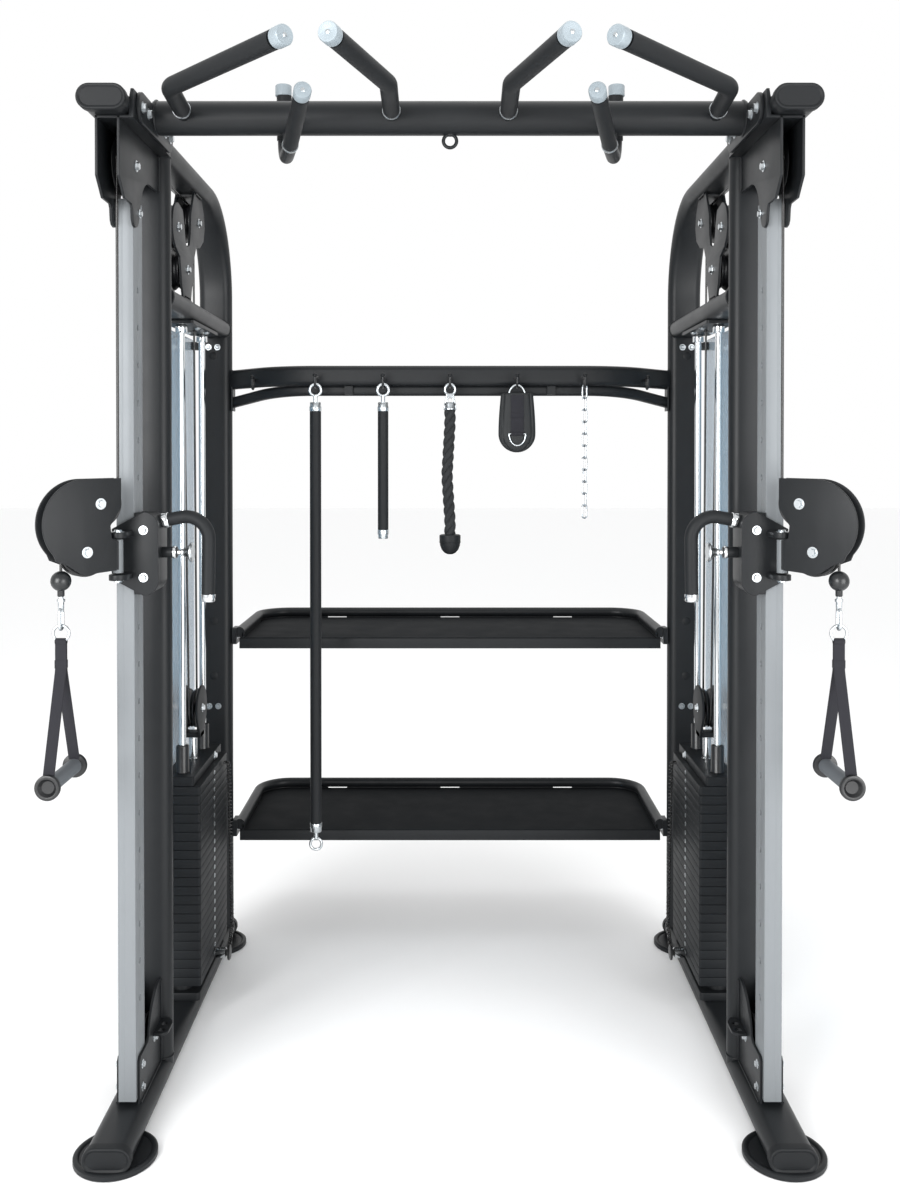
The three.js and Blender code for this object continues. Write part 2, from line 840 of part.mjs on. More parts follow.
function hangingEye(radius = 16.5, thick = 4) {
  return ring(radius, thick).translate(0, 0, HOOK_Z + 4.3 + thick - radius);
}

function pullBar(radius, length, eyes) {
  const top = EYE_DROP - 36;
  const rod = disc("z", top - length, top, 0, 0, radius, 12);
  const stem = (z) => disc("z", z - 12, z + 12, 0, 0, 6, 8);
  const pieces = [rod, hangingEye(), stem(top + 8)];
  if (eyes > 1) {
    pieces.push(stem(top - length - 8), ring(16.5, 4).translate(0, 0, top - length - 36));
  }
  return join(...pieces);
}

function ropeClamp() {
  const top = EYE_DROP;
  return join(
    hangingEye(15, 4),
    plate("y", -9, 9, [
      [top - 8, -14],
      [top - 8, 14],
      [top - 42, 21],
      [top - 58, 21],
      [top - 58, -21],
      [top - 42, -21],
    ]),
  );
}

const ROPE_TOP = EYE_DROP - 58 - GAP;
const ROPE_BOTTOM = 1300;

function pullRope() {
  return tube(
    16.5,
    [
      [0, 0, ROPE_TOP],
      [0, 0, ROPE_TOP - 40, 300, 1],
      [-9, 0, 1470, 300, 2],
      [0, 0, ROPE_BOTTOM + 40, 300, 1],
      [0, 0, ROPE_BOTTOM],
    ],
    10,
  );
}

function ropeEnd() {
  const profile = [
    [0, 0],
    [31, 0],
    [32, -14],
    [31, -32],
    [22, -50],
    [10, -57],
    [0, -58],
  ].reverse();
  return uprightTurn(turned(profile, 14)).translate(0, 0, ROPE_BOTTOM - GAP);
}

function ankleCuff() {
  const top = EYE_DROP - 8;
  const outline = [
    [top, -45],
    [top, 45],
    [top - 60, 52],
    ...arc(top - 118, 0, 54, 90, 270, 8),
    [top - 60, -52],
  ].reverse();
  const pad = plate("y", -18, 18, outline);
  return join(pad, hangingEye(17, 3), box(-14, 14, -3, 3, top - 4, top + 12));
}

function chain() {
  const pitch = 34.8;
  const link = (i) => {
    const z = HOOK_Z + 6.5 - 16 - i * pitch;
    const outer = stadium(9.5, 21, 2);
    const inner = polygon(stadium(5, 16, 2).map(([a, b]) => [b + z, a]));
    const geometry = plate("y", -2.4, 2.4, outer.map(([a, b]) => [b + z, a]), [inner]);
    return i % 2 ? geometry.rotateZ(Math.PI / 2) : geometry;
  };
  return join(...Array.from({ length: 11 }, (_, i) => link(i)));
}

function accessory(index, ...meshes) {
  const group = new THREE.Group();
  group.position.set(HOOK_X[index], HOOK_Y, 0);
  group.add(...meshes);
  return group;
}

// ---- The whole trainer -------------------------------------------------------------------------------
const trainer = new THREE.Group();
trainer.position.y = -DEPTH_CENTRE;
trainer.add(
  tower(-1),
  tower(1),
  part("pullup_beam", "frame", pullupBeam()),
  part("accessory_bar", "frame", accessoryBar()),
  part("upper_shelf", "frame", shelf(SHELF_Z.upper)),
  part("lower_shelf", "frame", shelf(SHELF_Z.lower)),
  accessory(1, part("long_bar", "grip", pullBar(16.5, 1255, 2))),
  accessory(2, part("short_bar", "grip", pullBar(15.5, 397, 1))),
  accessory(
    3,
    part("rope_clamp", "zinc", ropeClamp()),
    part("pull_rope", "webbing", pullRope()),
    part("rope_end", "rubber", ropeEnd()),
  ),
  accessory(4, part("ankle_cuff", "padding", ankleCuff())),
  accessory(5, part("chain", "zinc", chain())),
);

export default trainer;
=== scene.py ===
"""A functional trainer: two weight towers, a pull-up beam, two shelves and an accessory bar with its handles.

Sizes are millimetres in a tower's own frame (x outwards from its centre plane, y backwards, z up) and are
placed by a matrix, which also mirrors the left tower.
"""
import math

import bmesh
import bpy
from bpy.props import FloatProperty, FloatVectorProperty, IntProperty, PointerProperty
from mathutils import Matrix, Vector


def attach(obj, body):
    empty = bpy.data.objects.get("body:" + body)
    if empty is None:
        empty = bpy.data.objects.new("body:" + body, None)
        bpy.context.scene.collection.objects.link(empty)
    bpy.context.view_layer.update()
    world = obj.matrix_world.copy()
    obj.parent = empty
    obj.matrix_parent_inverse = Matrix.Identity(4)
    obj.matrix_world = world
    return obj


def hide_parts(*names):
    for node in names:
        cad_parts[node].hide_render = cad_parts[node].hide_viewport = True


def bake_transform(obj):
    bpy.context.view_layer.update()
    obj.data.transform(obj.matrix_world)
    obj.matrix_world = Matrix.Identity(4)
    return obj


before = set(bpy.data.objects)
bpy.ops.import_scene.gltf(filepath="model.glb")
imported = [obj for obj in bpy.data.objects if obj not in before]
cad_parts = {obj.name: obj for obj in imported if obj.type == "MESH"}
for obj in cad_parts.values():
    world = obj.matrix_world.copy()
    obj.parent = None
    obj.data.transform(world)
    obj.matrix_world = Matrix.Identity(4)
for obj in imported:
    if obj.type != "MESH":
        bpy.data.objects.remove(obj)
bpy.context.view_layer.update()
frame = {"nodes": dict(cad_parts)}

bl_info = {
    "name": "Functional trainer",
    "version": (1, 0, 0),
    "blender": (4, 5, 0),
    "location": "View3D > Sidebar > Trainer",
    "description": "Builds a functional trainer, piece by piece, on its frame of moving bodies",
    "category": "Object",
}

# ---- Driving dimensions, millimetres -----------------------------------------------------------------
MM = 0.001
DEPTH_CENTRE = 573.06
TOWER_X = 729
SIDES = {"left": -1, "right": 1}

TUBE_WIDE = 100
TUBE_THICK = 50
BASE_Z = 35
BASE_FRONT = -75
BASE_REAR = 1160
FOOT_RADIUS = 90
REAR_FOOT_Y = 1090
UPRIGHT_Y = 315
UPRIGHT_FRONT = UPRIGHT_Y - TUBE_THICK / 2
REAR_Y = 1100
TOP_Z = 2280
TOP_FRONT = -86
ARCH_RADIUS = 270
MID_Z = 1920

RAIL_FRONT = 90
RAIL_BACK = 165
RAIL_BOTTOM = 70
RAIL_TOP = 2105
RAIL_MID_Y = (RAIL_FRONT + RAIL_BACK) / 2
HOLE_COUNT = 20
HOLE_PITCH = 85
HOLE_FIRST_Z = 290
HOLE_RADIUS = 7

CHEEK_IN = 20.5
CHEEK_OUT = 26.5
CABLE_RADIUS = 3
WRAP = 50
TOP_WRAP = 60

HINGE_Y = 34
ARM_TURN = math.radians(-43)
CARRIAGE_Z = HOLE_FIRST_Z + 12 * HOLE_PITCH
STRAND_U = 131
BALL_RADIUS = 21.5
BALL_Z = -46
HOOK_END_Z = -152
GRIP_HALF = 86

TOP_PULLEY = (HINGE_Y + TOP_WRAP, 2178)
REAR_PULLEYS = ((494, 2122), (734, 2179), (600, 2028))
STACK_PULLEY = (763.5, 815)
BOTTOM_PULLEY = (228, 150)
ARM_PULLEYS = ((50, 116), (81, 13))

ROD_Y = (635, 892)
ROD_RADIUS = 9.5
STACK_HALF = 60
STACK_FRONT = 580
STACK_BACK = 947
STACK_BOTTOM = 105
STACK_TOP = 643
SLAB_TOP = 668
SLEEVE_TOP = 741
HEAD_HALF = 43
PIN_Z = 117
SHIELD_LOW_Z = 751
SHIELD_HIGH_Z = 1865

BEAM_Y = 130
BEAM_Z = 2295
BEAM_RADIUS = 38
HOOK_X = (-590, -392, -195, 0, 195, 392, 590)
HOOK_Y = 862
HOOK_Z = 1729
EYE_Z = HOOK_Z - 8.2
ROPE_TOP = EYE_Z - 58.3
ROPE_BOTTOM = 1300


# ---- Sizes and colours that a user may change --------------------------------------------------------
def colour_property(name, description, value):
    return FloatVectorProperty(
        name=name, description=description, subtype="COLOR", size=3, min=0, max=1, default=linear(value)
    )


def linear(hex_colour):
    """A hex colour as three linear values."""
    channels = [int(hex_colour[i : i + 2], 16) / 255 for i in (1, 3, 5)]
    return tuple(c / 12.92 if c < 0.04045 else ((c + 0.055) / 1.055) ** 2.4 for c in channels)


class TrainerColours(bpy.types.PropertyGroup):
    frame: colour_property("Frame", "Powder coat of the frame", "#191b1d")
    rail: colour_property("Rail", "Satin metal of the guide rails", "#73777a")
    grip_cap: colour_property("Grip caps", "End caps of the pull-up grips", "#8a949a")
    shield: colour_property("Shield", "Tint of the side shields", "#8ba9bd")
    plates: colour_property("Plates", "Paint of the weight plates", "#1b1d1f")


class TrainerSizes(bpy.types.PropertyGroup):
    plates: IntProperty(name="Plates", description="Plates in each stack", default=22, min=2, max=40)
    plate_gap: FloatProperty(
        name="Plate gap",
        description="Shadow line between two plates",
        default=0.0011,
        min=0,
        max=0.005,
        unit="LENGTH",
    )
    lanyard_turns: IntProperty(
        name="Lanyard turns", description="Coils in each pin's lanyard", default=62, min=5, max=200
    )
    rope_lay: FloatProperty(
        name="Rope lay",
        description="Length of one turn of the rope's strands",
        default=0.086,
        min=0.02,
        max=0.5,
        unit="LENGTH",
    )


# ---- Places ------------------------------------------------------------------------------------------
def shared():
    return Matrix.Diagonal((MM, MM, MM, 1)) @ Matrix.Translation((0, -DEPTH_CENTRE, 0))


def tower(side):
    sign = SIDES[side]
    mirror = Matrix.Diagonal((sign, 1, 1, 1))
    return shared() @ Matrix.Translation((sign * TOWER_X, 0, 0)) @ mirror


def carriage_place(side):
    return tower(side) @ Matrix.Translation((0, 0, CARRIAGE_Z))


def arm_place(side):
    return carriage_place(side) @ Matrix.Translation((0, HINGE_Y, 0)) @ Matrix.Rotation(ARM_TURN, 4, "Z")


def hanging_place(side):
    y = HINGE_Y + STRAND_U * math.sin(ARM_TURN)
    return carriage_place(side) @ Matrix.Translation((STRAND_U * math.cos(ARM_TURN), y, 0))


def hook_place(index):
    return shared() @ Matrix.Translation((HOOK_X[index], HOOK_Y, 0))


# ---- Outlines and paths ------------------------------------------------------------------------------
def arc(a, b, radius, start, end, steps):
    """Points of an arc about (a, b), both ends included; angles in degrees."""
    angles = [math.radians(start + (end - start) * i / steps) for i in range(steps + 1)]
    return [(a + radius * math.cos(t), b + radius * math.sin(t)) for t in angles]


def circle(radius, sides=32, a=0, b=0):
    return arc(a, b, radius, 0, 360, sides)[:-1]


def stadium(half, long_half, steps=14):
    """Round at the ends of its longer, second axis."""
    straight = long_half - half
    return arc(0, straight, half, 0, 180, steps) + arc(0, -straight, half, 180, 360, steps)


def shifted(outline, a, b):
    return [(p + a, q + b) for p, q in outline]


def swapped(outline):
    return [(q, p) for p, q in outline]


def eased(corners, radius, steps=5):
    """An outline with each of its corners made round."""
    count = len(corners)
    points = []
    for i, corner in enumerate(corners):
        here = Vector(corner)
        before = Vector(corners[i - 1]) - here
        after = Vector(corners[(i + 1) % count]) - here
        reach = min(radius, before.length * 0.45, after.length * 0.45)
        first = here + before.normalized() * reach
        last = here + after.normalized() * reach
        for k in range(steps + 1):
            t = k / steps
            p = first * (1 - t) ** 2 + here * 2 * t * (1 - t) + last * t**2
            points.append((p.x, p.y))
    return points


def rounded(corners, steps=12):
    """A path whose corners, given as (x, y, z, radius), become arcs."""
    points = [Vector(corners[0][:3])]
    for i in range(1, len(corners) - 1):
        corner = Vector(corners[i][:3])
        radius = corners[i][3] if len(corners[i]) > 3 else 0
        inward = (corner - Vector(corners[i - 1][:3])).normalized()
        outward = (Vector(corners[i + 1][:3]) - corner).normalized()
        turn = inward.angle(outward)
        if not radius or turn < 1e-4:
            points.append(corner)
            continue
        side = (outward - inward * inward.dot(outward)).normalized()
        start = corner - inward * radius * math.tan(turn / 2)
        for k in range(steps + 1):
            angle = turn * k / steps
            points.append(start + inward * radius * math.sin(angle) + side * radius * (1 - math.cos(angle)))
    points.append(Vector(corners[-1][:3]))
    return points


def cut_short(points, length):
    """The same path without its last stretch of a given length."""
    points = list(points)
    points[-1] = points[-1] + (points[-2] - points[-1]).normalized() * length
    return points


def spaced(points, step):
    """The same path with more stations on its straight stretches, for a pattern or a bend."""
    result = [points[0]]
    for before, after in zip(points, points[1:]):
        count = max(1, math.ceil((after - before).length / step))
        result += [before.lerp(after, k / count) for k in range(1, count + 1)]
    return result


# ---- Solids ------------------------------------------------------------------------------------------
PLATE_AXES = {
    "x": Matrix(((0, 0, 1, 0), (1, 0, 0, 0), (0, 1, 0, 0), (0, 0, 0, 1))),
    "y": Matrix(((0, 1, 0, 0), (0, 0, 1, 0), (1, 0, 0, 0), (0, 0, 0, 1))),
    "z": Matrix.Identity(4),
}


class Form:
    """A mesh built up from closed solids, in millimetres."""

    def __init__(self):
        self.mesh = bmesh.new()
        self.uv = self.mesh.loops.layers.uv.new("run")

    def rings(self, rings, closed=False, lengths=None):
        """Skins a list of rings of points; open ends get a flat cap."""
        made = [[self.mesh.verts.new(p) for p in ring] for ring in rings]
        count = len(made[0])
        pairs = list(zip(made, made[1:])) + ([(made[-1], made[0])] if closed else [])
        for i, (low, high) in enumerate(pairs):
            for k in range(count):
                after = (k + 1) % count
                face = self.mesh.faces.new((low[k], low[after], high[after], high[k]))
                if lengths:
                    near, far = lengths[i] * MM, lengths[i + 1] * MM
                    v0, v1 = k / count, (k + 1) / count
                    for loop, uv in zip(face.loops, ((near, v0), (near, v1), (far, v1), (far, v0))):
                        loop[self.uv].uv = uv
        if not closed:
            self.mesh.faces.new(made[0][::-1])
            self.mesh.faces.new(made[-1])
        return self

    def sweep(self, points, section, side=None):
        """A section carried along a path. Its first axis stays along side, where that is given."""
        points = [Vector(p) for p in points]
        reference = Vector(side) if side else None
        rings, lengths, run = [], [], 0
        for i, here in enumerate(points):
            before, after = points[max(i - 1, 0)], points[min(i + 1, len(points) - 1)]
            tangent = Vector()
            if i:
                tangent += (here - before).normalized()
                run += (here - before).length
            if here != after:
                tangent += (after - here).normalized()
            tangent.normalize()
            if reference is None:
                reference = tangent.orthogonal().normalized()
            first = (reference - tangent * reference.dot(tangent)).normalized()
            if side is None:
                reference = first
            second = tangent.cross(first)
            rings.append([here + first * a + second * b for a, b in section])
            lengths.append(run)
        return self.rings(rings, lengths=lengths)

    def tube(self, radius, corners, sides=28, steps=12, step=None):
        points = rounded(corners, steps)
        if step:
            points = spaced(points, step)
        return self.sweep(points, circle(radius, sides))

    def oval(self, corners, steps=24):
        section = swapped(stadium(TUBE_THICK / 2, TUBE_WIDE / 2))
        return self.sweep(rounded(corners, steps), section, side=(1, 0, 0))

    def plate(self, axis, start, end, outline, holes=(), edge=0.8):
        """A flat plate with eased edges. Outlines are (y, z) along x, (z, x) along y and (x, y) along z."""
        curve = bpy.data.curves.new("outline", "CURVE")
        curve.dimensions = "2D"
        curve.fill_mode = "BOTH"
        curve.extrude = (end - start) / 2 - edge
        curve.bevel_depth = edge
        curve.bevel_resolution = 2
        curve.offset = -edge
        for ring in (outline, *holes):
            spline = curve.splines.new("POLY")
            spline.points.add(len(ring) - 1)
            for point, (a, b) in zip(spline.points, ring):
                point.co = (a, b, 0, 1)
            spline.use_cyclic_u = True
        holder = bpy.data.objects.new("outline", curve)
        bpy.context.collection.objects.link(holder)
        bpy.context.view_layer.update()
        flat = bpy.data.meshes.new_from_object(holder.evaluated_get(bpy.context.evaluated_depsgraph_get()))
        bpy.data.objects.remove(holder)
        bpy.data.curves.remove(curve)
        extra = bmesh.new()
        extra.from_mesh(flat)
        bpy.data.meshes.remove(flat)
        bmesh.ops.remove_doubles(extra, verts=extra.verts, dist=0.001)
        extra.transform(PLATE_AXES[axis] @ Matrix.Translation((0, 0, (start + end) / 2)))
        self.add(extra)
        return self

    def disc(self, axis, start, end, a, b, radius, sides=40, edge=0.8):
        return self.plate(axis, start, end, circle(radius, sides, a, b), edge=edge)

    def box(self, x0, x1, y0, y1, z0, z1, edge=0.8):
        corners = [(x0, y0), (x1, y0), (x1, y1), (x0, y1)]
        return self.plate("z", z0, z1, corners, edge=edge)

    def turned(self, profile, place=None, segments=48):
        """A turned solid: (radius, height) up its axis, which is z before it is placed."""
        extra = bmesh.new()
        rings = []
        for radius, height in profile:
            if radius == 0:
                rings.append([extra.verts.new((0, 0, height))])
            else:
                rings.append([extra.verts.new((a, b, height)) for a, b in circle(radius, segments)])
        for low, high in zip(rings, rings[1:]):
            for k in range(segments):
                after = (k + 1) % segments
                lower = [low[k % len(low)], low[after % len(low)]]
                upper = [high[after % len(high)], high[k % len(high)]]
                corners = lower + upper
                extra.faces.new(list(dict.fromkeys(corners)))
        if place is not None:
            extra.transform(place)
        self.add(extra)
        return self

    def ring(self, radius, thick, place=None, segments=48, sides=16):
        rings = []
        for t in (2 * math.pi * i / segments for i in range(segments)):
            turn = Matrix.Rotation(t, 4, "Z")
            turned = (place or Matrix()) @ turn
            rings.append([turned @ Vector((radius + a, 0, b)) for a, b in circle(thick, sides)])
        return self.rings(rings, closed=True)

    def ball(self, radius, centre):
        angles = [math.radians(a) for a in range(-80, 90, 10)]
        profile = [(radius * math.cos(a), radius * math.sin(a)) for a in angles]
        return self.turned([(0, -radius), *profile, (0, radius)], Matrix.Translation(centre), 32)

    def add(self, extra):
        holder = bpy.data.meshes.new("part")
        extra.to_mesh(holder)
        extra.free()
        self.mesh.from_mesh(holder)
        bpy.data.meshes.remove(holder)

    def finish(self, name, place):
        """The mesh in its place, in metres, with its faces outwards and only its real edges sharp."""
        self.mesh.transform(place)
        bmesh.ops.recalc_face_normals(self.mesh, faces=self.mesh.faces)
        mesh = bpy.data.meshes.new(name)
        self.mesh.to_mesh(mesh)
        self.mesh.free()
        mesh.shade_smooth()
        mesh.set_sharp_from_angle(angle=math.radians(38))
        return mesh


AXIS_X = Matrix.Rotation(math.radians(90), 4, "Y")
AXIS_Y = Matrix.Rotation(math.radians(-90), 4, "X")


def at(x, y, z, turn=None):
    return Matrix.Translation((x, y, z)) @ (turn or Matrix())


def piece(name, form, place, material, body, replaces=()):
    """A finished piece, put on its body where one body is named. Its object sits at the origin and its place is in
    its mesh.
    """
    mesh = form.finish(name, place) if isinstance(form, Form) else form
    mesh.name = name
    mesh.materials.clear()
    mesh.materials.append(bpy.data.materials[material])
    obj = bpy.data.objects.new(name, mesh)
    bpy.context.collection.objects.link(obj)
    if isinstance(body, str):
        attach(obj, body)
    else:
        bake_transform(obj)
    if replaces:
        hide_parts(*replaces)
    return obj


# ---- Node trees for what repeats ---------------------------------------------------------------------
def new_tree(name, inputs):
    tree = bpy.data.node_groups.new(name, "GeometryNodeTree")
    tree.is_modifier = True
    tree.interface.new_socket("Geometry", in_out="INPUT", socket_type="NodeSocketGeometry")
    for label, kind, value in inputs:
        socket = tree.interface.new_socket(label, in_out="INPUT", socket_type="NodeSocket" + kind)
        if value is not None:
            socket.default_value = value
    tree.interface.new_socket("Geometry", in_out="OUTPUT", socket_type="NodeSocketGeometry")
    return tree, tree.nodes.new("NodeGroupInput"), tree.nodes.new("NodeGroupOutput")


def end_tree(tree, instances, given, output):
    """Realizes the copies and gives them their material."""
    realize = tree.nodes.new("GeometryNodeRealizeInstances")
    paint = tree.nodes.new("GeometryNodeSetMaterial")
    tree.links.new(instances, realize.inputs["Geometry"])
    tree.links.new(realize.outputs["Geometry"], paint.inputs["Geometry"])
    tree.links.new(given.outputs["Material"], paint.inputs["Material"])
    tree.links.new(paint.outputs["Geometry"], output.inputs["Geometry"])


def row_tree():
    """Copies of a shape along a straight line, each turned about z by the same further angle."""
    tree, given, output = new_tree(
        "Row of copies",
        [
            ("Count", "Int", 2),
            ("Start", "Vector", None),
            ("Step", "Vector", None),
            ("Turn", "Float", 0.0),
            ("Material", "Material", None),
        ],
    )
    line = tree.nodes.new("GeometryNodeMeshLine")
    copies = tree.nodes.new("GeometryNodeInstanceOnPoints")
    index = tree.nodes.new("GeometryNodeInputIndex")
    turn = tree.nodes.new("ShaderNodeMath")
    turn.operation = "MULTIPLY"
    rotation = tree.nodes.new("ShaderNodeCombineXYZ")
    tree.links.new(given.outputs["Count"], line.inputs["Count"])
    tree.links.new(given.outputs["Start"], line.inputs["Start Location"])
    tree.links.new(given.outputs["Step"], line.inputs["Offset"])
    tree.links.new(line.outputs["Mesh"], copies.inputs["Points"])
    tree.links.new(given.outputs["Geometry"], copies.inputs["Instance"])
    tree.links.new(index.outputs["Index"], turn.inputs[0])
    tree.links.new(given.outputs["Turn"], turn.inputs[1])
    tree.links.new(turn.outputs["Value"], rotation.inputs["Z"])
    tree.links.new(rotation.outputs["Vector"], copies.inputs["Rotation"])
    end_tree(tree, copies.outputs["Instances"], given, output)


def screw_tree():
    """A screw on every point, standing along the point's facing, with a washer under its head."""
    tree, given, output = new_tree(
        "Screws on points",
        [
            ("Head Radius", "Float", 0.008),
            ("Head Height", "Float", 0.005),
            ("Crown", "Float", 0.8),
            ("Washer Radius", "Float", 0.011),
            ("Sides", "Int", 6),
            ("Material", "Material", None),
        ],
    )
    washer_height = 0.0016

    def cylinder(radius, sides, depth, top=None):
        cone = tree.nodes.new("GeometryNodeMeshCone")
        tree.links.new(radius, cone.inputs["Radius Bottom"])
        tree.links.new(top or radius, cone.inputs["Radius Top"])
        if isinstance(sides, int):
            cone.inputs["Vertices"].default_value = sides
        else:
            tree.links.new(sides, cone.inputs["Vertices"])
        if isinstance(depth, float):
            cone.inputs["Depth"].default_value = depth
        else:
            tree.links.new(depth, cone.inputs["Depth"])
        return cone.outputs["Mesh"]

    def lifted(mesh, height):
        move = tree.nodes.new("GeometryNodeTransform")
        move.inputs["Translation"].default_value = (0, 0, height)
        tree.links.new(mesh, move.inputs["Geometry"])
        return move.outputs["Geometry"]

    crown = tree.nodes.new("ShaderNodeMath")
    crown.operation = "MULTIPLY"
    tree.links.new(given.outputs["Head Radius"], crown.inputs[0])
    tree.links.new(given.outputs["Crown"], crown.inputs[1])
    washer = lifted(cylinder(given.outputs["Washer Radius"], 28, washer_height), -0.0004)
    head = cylinder(
        given.outputs["Head Radius"],
        given.outputs["Sides"],
        given.outputs["Head Height"],
        crown.outputs["Value"],
    )
    both = tree.nodes.new("GeometryNodeJoinGeometry")
    tree.links.new(washer, both.inputs["Geometry"])
    tree.links.new(lifted(head, washer_height - 0.0006), both.inputs["Geometry"])
    facing = tree.nodes.new("GeometryNodeInputNamedAttribute")
    facing.data_type = "FLOAT_VECTOR"
    facing.inputs["Name"].default_value = "facing"
    align = tree.nodes.new("FunctionNodeAlignRotationToVector")
    align.axis = "Z"
    tree.links.new(facing.outputs["Attribute"], align.inputs["Vector"])
    copies = tree.nodes.new("GeometryNodeInstanceOnPoints")
    tree.links.new(given.outputs["Geometry"], copies.inputs["Points"])
    tree.links.new(both.outputs["Geometry"], copies.inputs["Instance"])
    tree.links.new(align.outputs["Rotation"], copies.inputs["Rotation"])
    end_tree(tree, copies.outputs["Instances"], given, output)


def grown(tree_name, mesh, **values):
    """The plain mesh that a node tree makes of a mesh."""
    tree = bpy.data.node_groups[tree_name]
    holder = bpy.data.objects.new("grown", mesh)
    bpy.context.collection.objects.link(holder)
    modifier = holder.modifiers.new("grow", "NODES")
    modifier.node_group = tree
    inputs = [s for s in tree.interface.items_tree if s.in_out == "INPUT"]
    sockets = {s.name.lower().replace(" ", "_"): s.identifier for s in inputs}
    for key, value in values.items():
        modifier[sockets[key]] = value
    bpy.context.view_layer.update()
    evaluated = holder.evaluated_get(bpy.context.evaluated_depsgraph_get())
    result = bpy.data.meshes.new_from_object(evaluated)
    holder.modifiers.clear()
    bpy.data.objects.remove(holder)
    result.shade_smooth()
    result.set_sharp_from_angle(angle=math.radians(38))
    return result


def screws(
    name, place, points, body, radius=8, height=5, crown=0.8, sides=6, material="stainless", washer=1.35
):
    """One piece of like screws: points are (x, y, z) with the way each head faces."""
    cloud = bpy.data.meshes.new(name + "_points")
    turn = place.to_3x3()
    cloud.from_pydata([place @ Vector(p) for p, _ in points], [], [])
    facing = cloud.attributes.new("facing", "FLOAT_VECTOR", "POINT")
    for item, (_, way) in zip(facing.data, points):
        item.vector = (turn @ Vector(way)).normalized()
    mesh = grown(
        "Screws on points",
        cloud,
        head_radius=radius * MM,
        head_height=height * MM,
        crown=crown,
        washer_radius=radius * washer * MM,
        sides=sides,
        material=bpy.data.materials[material],
    )
    return piece(name, mesh, None, material, body)


# ---- Materials ---------------------------------------------------------------------------------------
def surface(name, colour, roughness, metallic=0.0, grain=900, depth=0.1, mottle=0.12, stretch=(1, 1, 1), **extra):
    """A finish with a fine grain in its surface and slow changes in its colour and gloss."""
    material = bpy.data.materials.new(name)
    material.use_nodes = True
    nodes, links = material.node_tree.nodes, material.node_tree.links
    shader = nodes["Principled BSDF"]
    shader.inputs["Metallic"].default_value = metallic
    for socket, value in extra.items():
        shader.inputs[socket.replace("_", " ")].default_value = value
    coordinates = nodes.new("ShaderNodeTexCoord")
    mapping = nodes.new("ShaderNodeMapping")
    mapping.inputs["Scale"].default_value = stretch
    links.new(coordinates.outputs["Object"], mapping.inputs["Vector"])

    def noise(scale, detail, source):
        node = nodes.new("ShaderNodeTexNoise")
        node.inputs["Scale"].default_value = scale
        node.inputs["Detail"].default_value = detail
        links.new(source, node.inputs["Vector"])
        return node.outputs["Fac"]

    fine = noise(grain, 3, mapping.outputs["Vector"])
    slow = noise(14, 4, coordinates.outputs["Object"])
    tint = nodes.new("ShaderNodeMix")
    tint.data_type = "RGBA"
    tint.inputs["A"].default_value = (*[c * (1 - mottle) for c in colour], 1)
    tint.inputs["B"].default_value = (*[min(1, c * (1 + mottle)) for c in colour], 1)
    both = nodes.new("ShaderNodeMath")
    both.operation = "MULTIPLY_ADD"
    both.inputs[1].default_value = 0.5
    links.new(fine, both.inputs[0])
    half = nodes.new("ShaderNodeMath")
    half.operation = "MULTIPLY"
    half.inputs[1].default_value = 0.5
    links.new(slow, half.inputs[0])
    links.new(half.outputs["Value"], both.inputs[2])
    links.new(both.outputs["Value"], tint.inputs["Factor"])
    links.new(tint.outputs["Result"], shader.inputs["Base Color"])
    gloss = nodes.new("ShaderNodeMapRange")
    gloss.inputs["To Min"].default_value = max(0.02, roughness * 0.82)
    gloss.inputs["To Max"].default_value = min(1, roughness * 1.18)
    links.new(slow, gloss.inputs["Value"])
    links.new(gloss.outputs["Result"], shader.inputs["Roughness"])
    bump = nodes.new("ShaderNodeBump")
    bump.inputs["Strength"].default_value = depth
    bump.inputs["Distance"].default_value = 0.0004
    links.new(fine, bump.inputs["Height"])
    links.new(bump.outputs["Normal"], shader.inputs["Normal"])
    return material


def woven(name, colour, ribs_along, ribs_across):
    """Webbing: ribs that run with and across the piece's own length, read from its map."""
    material = surface(name, colour, 0.85, grain=1500, depth=0.15, mottle=0.2)
    nodes, links = material.node_tree.nodes, material.node_tree.links
    run = nodes.new("ShaderNodeUVMap")
    run.uv_map = "run"
    split = nodes.new("ShaderNodeSeparateXYZ")
    links.new(run.outputs["UV"], split.inputs["Vector"])

    def ribs(source, frequency):
        scale = nodes.new("ShaderNodeMath")
        scale.operation = "MULTIPLY"
        scale.inputs[1].default_value = frequency
        links.new(source, scale.inputs[0])
        wave = nodes.new("ShaderNodeMath")
        wave.operation = "SINE"
        links.new(scale.outputs["Value"], wave.inputs[0])
        return wave.outputs["Value"]

    cross = nodes.new("ShaderNodeMath")
    cross.operation = "MULTIPLY"
    links.new(ribs(split.outputs["X"], ribs_along), cross.inputs[0])
    links.new(ribs(split.outputs["Y"], ribs_across), cross.inputs[1])
    bump = nodes.new("ShaderNodeBump")
    bump.inputs["Strength"].default_value = 0.5
    bump.inputs["Distance"].default_value = 0.0006
    links.new(cross.outputs["Value"], bump.inputs["Height"])
    old = nodes["Bump"]
    links.new(old.outputs["Normal"], bump.inputs["Normal"])
    links.new(bump.outputs["Normal"], nodes["Principled BSDF"].inputs["Normal"])
    return material


